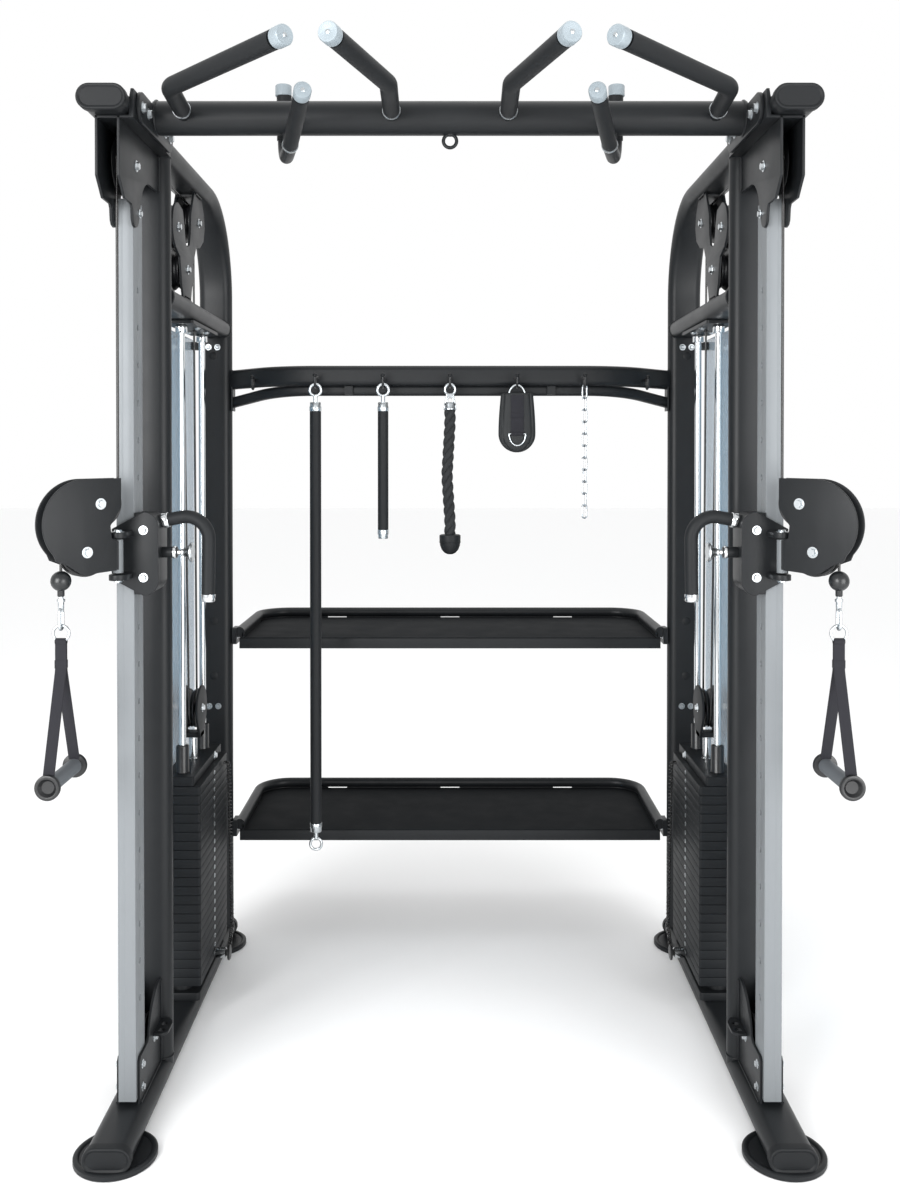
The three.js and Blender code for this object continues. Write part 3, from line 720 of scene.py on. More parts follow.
# ---- Tower frame -------------------------------------------------------------------------------------
LOWER_CHEEK = [
    (100, 57),
    (UPRIGHT_FRONT + 4, 57),
    (UPRIGHT_FRONT + 4, 262),
    *arc(UPRIGHT_FRONT, 150, 112, 90, 168, 20),
    (170, 165),
    (108, 165),
    (100, 157),
]
UPPER_CHEEK = [
    (-37, 2254),
    (-37, 2127),
    (-15, 2106),
    (4, 2087),
    (58, 2086),
    (64, 2078),
    (68, 2052),
    (76, 2043),
    (90, 2040),
    (104, 2044),
    (114, 2054),
    *arc(210, 2082, 80, 180, 90, 14)[3:],
    (UPRIGHT_FRONT + 4, 2164),
    (UPRIGHT_FRONT + 4, 2254),
]
REAR_CHEEK = [
    (550, 1945.3),
    (532, 1983),
    (512, 2048),
    (462, 2066),
    *arc(494, 2122, 62, 240, 90, 22),
    (494, 2184),
    (542, 2176),
    (562, 2140),
    (574, 2096),
    (592, 2088),
    (622, 2098),
    (634, 2130),
    (640, 2185),
    (683, 2254.7),
    (769, 2254.7),
    (800, 2220),
    (812, 2178),
    (797, 2139),
    (750, 2112),
    (703, 2105),
    (665, 2053),
    (683, 2028),
    (650, 1985),
    (636, 1945.3),
]


def cheeks(form, outline, edge=1):
    form.plate("x", CHEEK_IN, CHEEK_OUT, outline, edge=edge)
    form.plate("x", -CHEEK_OUT, -CHEEK_IN, outline, edge=edge)
    return form


def weld(form, corners, radius=2.4):
    """A weld bead that runs along a joint."""
    return form.tube(radius, corners, sides=8)


class PieceOperator:
    bl_options = {"REGISTER", "UNDO"}

    def execute(self, context):
        self.build(context)
        return {"FINISHED"}


class TRAINER_OT_materials(PieceOperator, bpy.types.Operator):
    """Make every finish and the node trees that repeat small parts"""

    bl_idname = "trainer.materials"
    bl_label = "Finishes"

    def build(self, context):
        colours = context.scene.trainer_colours
        dull = {"Specular_IOR_Level": 0.22}
        surface("frame_coat", colours.frame, 0.4, grain=1100, depth=0.22, mottle=0.3, **dull)
        surface(
            "rail_satin",
            colours.rail,
            0.5,
            0.15,
            grain=2400,
            depth=0.05,
            mottle=0.05,
            stretch=(1, 1, 0.01),
            Specular_IOR_Level=0.3,
        )
        surface("chrome", linear("#dfe3e6"), 0.12, 1, grain=700, depth=0.015, mottle=0.03)
        surface("stainless", linear("#c3c8cb"), 0.28, 1, grain=1500, depth=0.05, mottle=0.06)
        surface("zinc", linear("#b4b9bd"), 0.26, 1, grain=900, depth=0.06, mottle=0.1)
        matt = {"Specular_IOR_Level": 0.08}
        surface("shelf_coat", colours.frame, 0.75, grain=1100, depth=0.22, mottle=0.3, **matt)
        surface("cap_rubber", linear("#141618"), 0.5, grain=1400, depth=0.2, mottle=0.25, **dull)
        surface("nylon", linear("#121315"), 0.34, grain=700, depth=0.05, mottle=0.12)
        surface("cable_jacket", linear("#101113"), 0.3, grain=1600, depth=0.05, mottle=0.1)
        rubber = {"Specular_IOR_Level": 0.2}
        surface("grip_sleeve", linear("#181a1c"), 0.55, grain=1000, depth=0.5, mottle=0.3, **rubber)
        surface("grip_cap", colours.grip_cap, 0.34, 0.15, grain=1600, depth=0.04, mottle=0.04)
        paint = {"Specular_IOR_Level": 0.12}
        surface("plate_paint", colours.plates, 0.5, grain=800, depth=0.25, mottle=0.25, **paint)
        surface("handle_grip", linear("#55595d"), 0.6, grain=1300, depth=0.3, mottle=0.12)
        surface("ball_rubber", linear("#141618"), 0.32, grain=900, depth=0.1, mottle=0.12)
        clear = {"Alpha": 0.62, "Specular_IOR_Level": 0.5}
        surface("shield_tint", colours.shield, 0.12, grain=120, depth=0.01, mottle=0.03, **clear)
        woven("webbing", linear("#121315"), 2600, 150)
        woven("rope_yarn", linear("#1a1c1e"), 1500, 44)
        cloth = {"Specular_IOR_Level": 0.35}
        surface("cuff_cloth", linear("#15181a"), 0.6, grain=1700, depth=0.5, mottle=0.3, **cloth)
        row_tree()
        screw_tree()


class TRAINER_OT_tower_frame(PieceOperator, bpy.types.Operator):
    """Build the tubes, feet and brackets of both towers"""

    bl_idname = "trainer.tower_frame"
    bl_label = "Tower frames"

    def build(self, context):
        for side in SIDES:
            self.base(side)
            self.arch(side)
            self.rear_bracket(side)
            self.screws(side)

    def base(self, side):
        form = Form()
        form.oval([(0, BASE_FRONT + 8, BASE_Z), (0, BASE_REAR - 8, BASE_Z)])
        form.oval([(0, UPRIGHT_Y, BASE_Z + 5), (0, UPRIGHT_Y, TOP_Z - 20)])
        cheeks(form, LOWER_CHEEK)
        cheeks(form, UPPER_CHEEK)
        form.box(-CHEEK_OUT, CHEEK_OUT, -37, UPRIGHT_FRONT + 4, 2248.5, 2254)
        ear_back = UPRIGHT_FRONT + 4
        ear = [(-23, 212), (-48, 212), (-60, 224), (-60, 272), (-48, ear_back), (-23, ear_back)]
        holes = [circle(7, 24, -42, 232), circle(7, 24, -42, 262)]
        form.plate("z", 157, 163, eased(ear, 6), holes)
        loop = swapped(stadium(TUBE_THICK / 2 + 0.5, TUBE_WIDE / 2 + 0.5))
        for z in (BASE_Z + TUBE_THICK / 2 + 1.5, TOP_Z - TUBE_THICK / 2 - 1.5):
            bead = [(a, b + UPRIGHT_Y, z) for a, b in loop]
            weld(form, bead + bead[:2])
        for x in (-CHEEK_OUT - 1, CHEEK_OUT + 1):
            weld(form, [(x, 104, 61), (x, UPRIGHT_FRONT - 6, 61)])
            weld(form, [(x, UPRIGHT_FRONT - 1, 66), (x, UPRIGHT_FRONT - 1, 256)])
            weld(form, [(x, UPRIGHT_FRONT - 1, 2168), (x, UPRIGHT_FRONT - 1, 2248)])
        name = "base_frame_" + side
        piece("frame_front_" + side, form, tower(side), "frame_coat", "frame", [name])

        feet = Form()
        for y in (0, REAR_FOOT_Y):
            profile = [
                (0, 0),
                (FOOT_RADIUS - 2, 0),
                (FOOT_RADIUS, 2),
                (FOOT_RADIUS, 11),
                (FOOT_RADIUS - 3, 13.6),
                (FOOT_RADIUS - 8, 14),
                (FOOT_RADIUS - 12, 12.5),
                (FOOT_RADIUS - 14, 10.5),
                (0, 10.5),
            ]
            feet.turned(profile, at(0, y, 0), 72)
        piece("feet_" + side, feet, tower(side), "frame_coat", "frame")

        caps = Form()
        for face, inner in ((BASE_FRONT, BASE_FRONT + 21), (BASE_REAR, BASE_REAR - 21)):
            self.end_cap(caps, face, inner, BASE_Z)
        self.end_cap(caps, TOP_FRONT, TOP_FRONT + 20, TOP_Z)
        piece("end_caps_" + side, caps, tower(side), "cap_rubber", "frame")

    @staticmethod
    def end_cap(form, face, inner, z):
        """A moulded cap over the end of an oval tube, with a domed face and a raised rim."""
        way = 1 if inner > face else -1
        rings = []
        steps = ((9, 3.2), (6.5, 1.2), (4, 0), (2.4, 0.2), (0.9, 1.5), (0, 4.5), (0, abs(inner - face)))
        for shrink, depth in steps:
            section = stadium(28 - shrink, 53 - shrink)
            rings.append([(b, face + way * depth, a + z) for a, b in section])
        form.rings(rings)

    def arch(self, side):
        form = Form()
        form.oval([(0, TOP_FRONT + 8, TOP_Z), (0, REAR_Y, TOP_Z, ARCH_RADIUS), (0, REAR_Y, BASE_Z + 24)], 40)
        form.oval([(0, UPRIGHT_Y + 22, MID_Z), (0, REAR_Y - 20, MID_Z)])
        angle = [
            (TOP_Z - 31, -CHEEK_OUT - 0.5),
            (TOP_Z - 31, -56),
            (TOP_Z + 31, -56),
            (TOP_Z + 31, -50),
            (TOP_Z + 8, -46),
            (TOP_Z - 25, -46),
            (TOP_Z - 25, -CHEEK_OUT - 0.5),
        ]
        form.plate("y", -37, UPRIGHT_Y - 26, angle)
        loop = stadium(TUBE_THICK / 2 + 0.5, TUBE_WIDE / 2 + 0.5)
        for y in (UPRIGHT_Y + TUBE_THICK / 2 + 1, REAR_Y - TUBE_THICK / 2 - 1):
            bead = [(b, y, a + MID_Z) for a, b in loop]
            weld(form, bead + bead[:2])
        foot = [(b, a + REAR_Y, BASE_Z + TUBE_THICK / 2 + 1.5) for a, b in loop]
        weld(form, foot + foot[:2])
        name = "rear_arch_" + side
        piece("frame_rear_" + side, form, tower(side), "frame_coat", "frame", [name])

        slots = Form()
        for y in (426, 656, 790):
            for z in (MID_Z - TUBE_THICK / 2, MID_Z + TUBE_THICK / 2):
                outer, inner = shifted(stadium(7, 18), 0, y), shifted(stadium(5.2, 16), 0, y)
                slots.plate("z", z - 1, z + 1, outer, [inner], 0.4)
        piece("cable_bushes_" + side, slots, tower(side), "nylon", "frame")

        plugs = Form()
        front = REAR_Y - TUBE_THICK / 2
        for z in (846, 1016, 1838):
            dome = [(0, -2), (12.8, -2), (12.5, 0.8), (9.5, 2.2), (0, 2.6)]
            plugs.turned(dome, at(5, front, z, AXIS_Y.inverted()))
        piece("tube_plugs_" + side, plugs, tower(side), "cap_rubber", "frame")

    def rear_bracket(self, side):
        form = cheeks(Form(), REAR_CHEEK)
        form.box(-CHEEK_OUT, CHEEK_OUT, 700, 755, 2246, 2254.6)
        form.box(-CHEEK_OUT, CHEEK_OUT, 560, 630, 1945.4, 1955)
        for x in (-CHEEK_OUT - 1, CHEEK_OUT + 1):
            weld(form, [(x, 690, 2253), (x, 762, 2253)])
            weld(form, [(x, 556, 1947), (x, 630, 1947)])
        name = "rear_bracket_skin_" + side
        piece(name, form, tower(side), "frame_coat", "frame", ["rear_bracket_" + side])

    def screws(self, side):
        both = [((way * CHEEK_OUT, y, z), (way, 0, 0)) for way in (-1, 1) for y, z in self.axles()]
        screws("axle_bolts_" + side, tower(side), both, "frame", 9.5, 6.5, 0.86)
        rail = [
            ((way * CHEEK_OUT, y, z), (way, 0, 0))
            for way in (-1, 1)
            for y, z in ((120, 2077), (120, 89), (120, 141))
        ]
        screws("rail_bolts_" + side, tower(side), rail, "frame", 7.5, 5, 0.9)
        angle = [((-56, y, z), (-1, 0, 0)) for y in (12, 248) for z in (TOP_Z - 12, TOP_Z + 14)]
        screws("angle_bolts_" + side, tower(side), angle, "frame", 8, 5, 0.9)

    @staticmethod
    def axles():
        return (TOP_PULLEY, *REAR_PULLEYS, BOTTOM_PULLEY)


class TRAINER_OT_guide_rail(PieceOperator, bpy.types.Operator):
    """Build both guide rails, with their rows of locking holes"""

    bl_idname = "trainer.guide_rail"
    bl_label = "Guide rails"

    def build(self, context):
        corners = [
            (RAIL_FRONT, RAIL_BOTTOM),
            (RAIL_BACK, RAIL_BOTTOM),
            (RAIL_BACK, RAIL_TOP),
            (RAIL_FRONT, RAIL_TOP),
        ]
        rows = [HOLE_FIRST_Z + i * HOLE_PITCH for i in range(HOLE_COUNT)]
        for side in SIDES:
            form = Form()
            form.plate("x", -20, 5, corners, [circle(HOLE_RADIUS, 24, RAIL_MID_Y, z) for z in rows], 1.2)
            form.plate("x", 3.8, 20, corners, edge=1.2)
            name = "guide_rail_skin_" + side
            piece(name, form, tower(side), "rail_satin", "frame", ["guide_rail_" + side])


# ---- Pulleys and cable -------------------------------------------------------------------------------
def wheel(wrap, boss, flange):
    """A grooved wheel with a dished web and a bearing boss; its axis is z."""
    rim = wrap + flange
    root = wrap - CABLE_RADIUS
    half = 12
    turns = [math.radians(a) for a in range(240, 119, -12)]
    groove = [(wrap + CABLE_RADIUS * math.cos(t), CABLE_RADIUS * math.sin(t)) for t in turns]
    profile = [
        (0, -boss),
        (11, -boss),
        (13, -half),
        (18, -half + 2),
        (rim - 14, -half + 2),
        (rim - 11, -half),
        (rim - 1, -half),
        (rim, -half + 1),
        (rim, -half + 2.4),
    ]
    mirrored = [(r, -h) for r, h in profile[::-1]]
    groove = [(max(r, root), h) for r, h in groove]
    return profile + groove + mirrored


class TRAINER_OT_pulleys(PieceOperator, bpy.types.Operator):
    """Build every pulley, each on its own turning body"""

    bl_idname = "trainer.pulleys"
    bl_label = "Pulleys"

    def build(self, context):
        for side in SIDES:
            centres = [("top_pulley", TOP_PULLEY, TOP_WRAP)]
            centres += [("rear_pulley_%d" % (i + 1), c, WRAP) for i, c in enumerate(REAR_PULLEYS)]
            centres += [("stack_pulley", STACK_PULLEY, WRAP), ("bottom_pulley", BOTTOM_PULLEY, WRAP)]
            for name, (y, z), wrap in centres:
                self.make(name, side, tower(side), at(0, y, z, AXIS_X), wheel(wrap, CHEEK_IN - 0.6, 4.5))
            for name, (u, z) in zip(("arm_pulley_upper", "arm_pulley_lower"), ARM_PULLEYS):
                self.make(name, side, arm_place(side), at(u, 0, z, AXIS_Y), wheel(WRAP, 13.6, 3))

    def make(self, name, side, place, turn, profile):
        form = Form().turned(profile, turn, 64)
        body = name + "_" + side
        piece(name + "_wheel_" + side, form, place, "nylon", body, [body])


class TRAINER_OT_cable(PieceOperator, bpy.types.Operator):
    """Build the cable of each tower, strand by strand; a strand on one body is put on that body, and a strand
    between two bodies is left unattached
    """

    bl_idname = "trainer.cable"
    bl_label = "Cables"

    def build(self, context):
        for side in SIDES:
            place = tower(side)
            carriage, weights = "carriage_" + side, "weights_" + side
            front_y = BOTTOM_PULLEY[0] - WRAP
            self.strand(
                "cable_lower_" + side,
                place,
                [(0, front_y, CARRIAGE_Z + 57), (0, front_y, BOTTOM_PULLEY[1])],
                (carriage, "frame", CARRIAGE_Z + 40, BOTTOM_PULLEY[1] + 12),
            )
            self.strand(
                "cable_middle_" + side,
                place,
                [
                    (0, front_y, BOTTOM_PULLEY[1]),
                    (0, front_y, BOTTOM_PULLEY[1] - WRAP, WRAP),
                    (0, 273.95, BOTTOM_PULLEY[1] - WRAP, WRAP),
                    (0, 448.05, 2172, WRAP),
                    (0, 513, 2172, WRAP),
                    (0, 648.8, 2051.6, WRAP),
                    (0, 653.6, 1960),
                ],
                "frame",
                replaces=["main_cable_" + side],
            )
            self.strand(
                "cable_down_" + side,
                place,
                [(0, 653.6, 1960), (0, 713.44, STACK_PULLEY[1])],
                ("frame", weights, 1940, STACK_PULLEY[1] + 15),
            )
            self.strand(
                "cable_under_" + side,
                place,
                [
                    (0, 713.44, STACK_PULLEY[1]),
                    (0, 716.1, 765, WRAP),
                    (0, 814.6, 765, WRAP),
                    (0, 813.44, STACK_PULLEY[1]),
                ],
                weights,
            )
            self.strand(
                "cable_up_" + side,
                place,
                [(0, 813.44, STACK_PULLEY[1]), (0, 784.0, 2180)],
                (weights, "frame", STACK_PULLEY[1] + 15, 2160),
            )
            self.strand(
                "cable_over_" + side,
                place,
                [
                    (0, 784.0, 2180),
                    (0, 783, 2228.3, WRAP),
                    (0, HINGE_Y, 2238.8, TOP_WRAP),
                    (0, HINGE_Y, 2178),
                ],
                "frame",
            )
            self.strand(
                "cable_front_" + side,
                place,
                [(0, HINGE_Y, 2178), (0, HINGE_Y, CARRIAGE_Z + 130)],
                ("frame", carriage, 2160, CARRIAGE_Z + 150),
            )
            arm = arm_place(side)
            self.strand(
                "cable_arm_" + side,
                arm,
                [(0, 0, 130), (0, 0, 70.2, WRAP), (STRAND_U, 0, 58.8, WRAP), (STRAND_U, 0, 8)],
                "swivel_arm_" + side,
            )
            bottom = BALL_Z + BALL_RADIUS - 2
            self.strand(
                "cable_exit_" + side,
                arm,
                [(STRAND_U, 0, 8), (STRAND_U, 0, bottom)],
                ("swivel_arm_" + side, "cable_end_" + side, CARRIAGE_Z + 7, CARRIAGE_Z + bottom + 2),
                step=2,
            )

    def strand(self, name, place, corners, body, replaces=(), step=60):
        form = Form().tube(CABLE_RADIUS, corners, sides=16, steps=16, step=step)
        if not isinstance(body, str):
            first, second, start, end = body
            x, y = (place @ Vector(corners[0][:3])).xy
            body = (first, second, (x, y, start * MM), (x, y, end * MM))
        piece(name, form, place, "cable_jacket", body, replaces)


# ---- Carriage and arm --------------------------------------------------------------------------------
class TRAINER_OT_carriage(PieceOperator, bpy.types.Operator):
    """Build the sliding carriages with their handles and pull pins"""

    bl_idname = "trainer.carriage"
    bl_label = "Carriages"

    def build(self, context):
        for side in SIDES:
            place = carriage_place(side)
            outline = [
                *arc(-60.5, -43, 33.5, -90, -180, 14),
                (-56, 28),
                (56, 28),
                *arc(60.5, -43, 33.5, 0, -90, 14),
            ]
            form = Form()
            form.plate("y", 80, RAIL_FRONT - 1.5, outline, edge=1.4)
            inner = [
                *arc(-60.5, -43, 31, -90, -180, 14),
                (-91.5, -21.5),
                (91.5, -21.5),
                *arc(60.5, -43, 31, 0, -90, 14),
            ]
            form.plate("y", 84, 172, inner, edge=2)
            form.box(21.5, 28, 84, 172, -56, 56)
            form.box(-30, 28, 166.5, 172, -56, 56)
            for low, high in ((39, 52), (-54, -41)):
                lug = [*arc(0, HINGE_Y, 20, 180, 360, 24), (20, 82), (-20, 82)]
                form.plate("z", low, high, lug, [circle(6.4, 24, 0, HINGE_Y)], 1.2)
            form.box(-9, 9, 171, 188, 58, 80)
            form.disc("x", -108, -74, RAIL_MID_Y, 0, 12.5)
            body = "carriage_" + side
            piece("carriage_plates_" + side, form, place, "frame_coat", body, [body])

            handle = Form()
            path = [(-66, RAIL_MID_Y, 70), (-181, RAIL_MID_Y, 92, 52), (-178, RAIL_MID_Y, -100)]
            handle.tube(15, path, 32, 20)
            piece("carriage_handle_" + side, handle, place, "grip_sleeve", body)

            trim = Form()
            root = Matrix.Rotation(math.radians(-79), 4, "Y")
            collar = [(0, 0), (17.5, 0), (18, 2), (18, 10), (16.5, 13), (0, 13)]
            trim.turned(collar, at(-76, RAIL_MID_Y, 72, root))
            plug = [(0, -13), (13, -13), (15.6, -10), (16, -2), (16, 4), (0, 4)]
            trim.turned(plug, at(-178.2, RAIL_MID_Y, -100))
            boss_ring = [(0, 0), (14.4, 0), (14.4, 4), (13, 6), (0, 6)]
            trim.turned(boss_ring, at(-100, RAIL_MID_Y, 0, AXIS_X.inverted()))
            piece("carriage_trim_" + side, trim, place, "chrome", body)

            points = [((-43, 80, z), (0, -1, 0)) for z in (-53, 53)]
            points += [((-49, 172, z), (0, 1, 0)) for z in (-70, 70)]
            points += [((12, 172, z), (0, 1, 0)) for z in (-42, 42)]
            points += [((28, y, z), (1, 0, 0)) for y in (102, 150) for z in (-42, 42)]
            screws("carriage_screws_" + side, place, points, body, 7.5, 4.5, 0.72, 20)
            hinge = [((0, HINGE_Y, 52), (0, 0, 1)), ((0, HINGE_Y, -54), (0, 0, -1))]
            screws("hinge_bolt_" + side, place, hinge, body, 9, 4, 0.9)

            pin = Form()
            profile = [(0, -20.4), (4, -20.4), (6, -23.4), (6, -116), (8.5, -118), (8.5, -128), (0, -128)]
            pin.turned(profile, at(0, RAIL_MID_Y, 0, AXIS_X))
            name = "pull_pin_" + side
            piece("pull_pin_stem_" + side, pin, place, "chrome", name, [name])
            knob = Form()
            profile = [
                (0, -143),
                (17, -144),
                (20.5, -143.6),
                (22.4, -141.5),
                (22, -138.5),
                (17, -134.5),
                (11.5, -129),
                (9.4, -122),
                (0, -122),
            ]
            knob.turned(profile, at(0, RAIL_MID_Y, 0, AXIS_X))
            piece("pull_pin_knob_" + side, knob, place, "stainless", name)


class TRAINER_OT_arm(PieceOperator, bpy.types.Operator):
    """Build the swivelling pulley arms"""

    bl_idname = "trainer.arm"
    bl_label = "Pulley arms"

    def build(self, context):
        outline = [
            (2, 171),
            (2, 106),
            (27, 68),
            (24, 40),
            (13, 36),
            (13, -30),
            (57, -33),
            (78, -38),
            (95, -33),
            (127, -12),
            (149, -3),
            *arc(83, 74, 96, -42, 90, 30),
        ]
        for side in SIDES:
            place = arm_place(side)
            form = Form()
            for low, high in ((14.5, 19.5), (-19.5, -14.5)):
                form.plate("y", low, high, swapped(outline), edge=1)
            form.box(8, 22, -19, 19, -29, 35)
            body = "swivel_arm_" + side
            piece("arm_cheeks_" + side, form, place, "frame_coat", body, [body])
            tube = Form()
            profile = [(6.5, -38), (10, -38), (11, -37), (11, 35), (10, 36), (6.5, 36)]
            turns = [2 * math.pi * i / 40 for i in range(40)]
            rows = [[(r * math.cos(t), r * math.sin(t), z) for r, z in profile] for t in turns]
            tube.rings(rows, closed=True)
            piece("arm_barrel_" + side, tube, place, "rail_satin", body)
            points = [((u, way * 19.5, z), (0, way, 0)) for u, z in ARM_PULLEYS for way in (-1, 1)]
            screws("arm_bolts_" + side, place, points, body, 9, 6, 0.86)


class TRAINER_OT_cable_end(PieceOperator, bpy.types.Operator):
    """Build the ball stops, snap hooks and strap handles"""

    bl_idname = "trainer.cable_end"
    bl_label = "Handles"

    def build(self, context):
        for side in SIDES:
            place = hanging_place(side)
            body = "cable_end_" + side
            ball = Form().ball(BALL_RADIUS, (0, 0, BALL_Z))
            ball.turned([(0, -79), (6, -79), (7.5, -77), (7.5, -60), (0, -60)])
            piece("ball_stop_" + side, ball, place, "ball_rubber", body, [body])
            hook = Form()
            loop = shifted(stadium(10, 22.5, 16), 0, HOOK_END_Z + 26)
            ring = [(0, y, z) for y, z in loop]
            hook.tube(3.4, ring + ring[:1], 16)
            gate = [(0, -106), (5, -106), (6.4, -103), (6.4, -86), (4.5, -80), (4.5, -76), (0, -76)]
            hook.turned(gate, segments=32)
            hook.turned([(0, -90), (8, -90), (8.6, -89), (8.6, -85), (8, -84), (0, -84)], segments=32)
            piece("snap_hook_" + side, hook, place, "stainless", body)
            self.handle(side, place)

    def handle(self, side, place):
        body = "strap_handle_" + side
        eye_z = HOOK_END_Z - 5
        grip_z = 849 - CARRIAGE_Z
        ring = Form().ring(17, 3, at(0, 0, eye_z, AXIS_Y))
        piece("handle_ring_" + side, ring, place, "stainless", body, [body])
        web = Form()
        section = eased([(-12, -1.9), (12, -1.9), (12, 1.9), (-12, 1.9)], 1.4, 3)
        for way in (-1, 1):
            path = [
                (0, way * 2.3, eye_z - 20),
                (0, way * 2.3, -233, 60),
                (0, way * (GRIP_HALF - 4), grip_z + 15),
            ]
            web.sweep(spaced(rounded(path), 12), section, side=(1, 0, 0))
        turns = [2 * math.pi * i / 24 for i in range(25)]
        wrap = [(0, 5.2 * math.cos(t), eye_z - 17 + 5.2 * math.sin(t)) for t in turns]
        web.sweep(wrap, section, side=(1, 0, 0))
        web.box(-12.6, 12.6, -5, 5, eye_z - 74, eye_z - 56, 1.2)
        piece("handle_strap_" + side, web, place, "webbing", body)
        grip = Form()
        end = GRIP_HALF - 5
        ribs = [(16.4 - 0.35 * (i % 2), 3 * i - 78) for i in range(53)]
        profile = [(0, -end), (14, -end), (16.3, 1 - end), *ribs, (16.3, end - 1), (14, end), (0, end)]
        grip.turned(profile, at(0, 0, grip_z, AXIS_Y))
        piece("handle_grip_" + side, grip, place, "handle_grip", body)
        ends = Form()
        for way in (-1, 1):
            profile = [
                (0, -6),
                (22, -6),
                (25.5, -5),
                (26.5, -3),
                (26.5, 3),
                (25.5, 5.4),
                (23, 6.2),
                (19, 5.4),
                (16, 1.5),
                (13, -2),
                (0, -2.5),
            ]
            outward = AXIS_Y if way > 0 else AXIS_Y.inverted()
            ends.turned(profile, at(0, way * GRIP_HALF, grip_z, outward))
        piece("handle_ends_" + side, ends, place, "nylon", body)


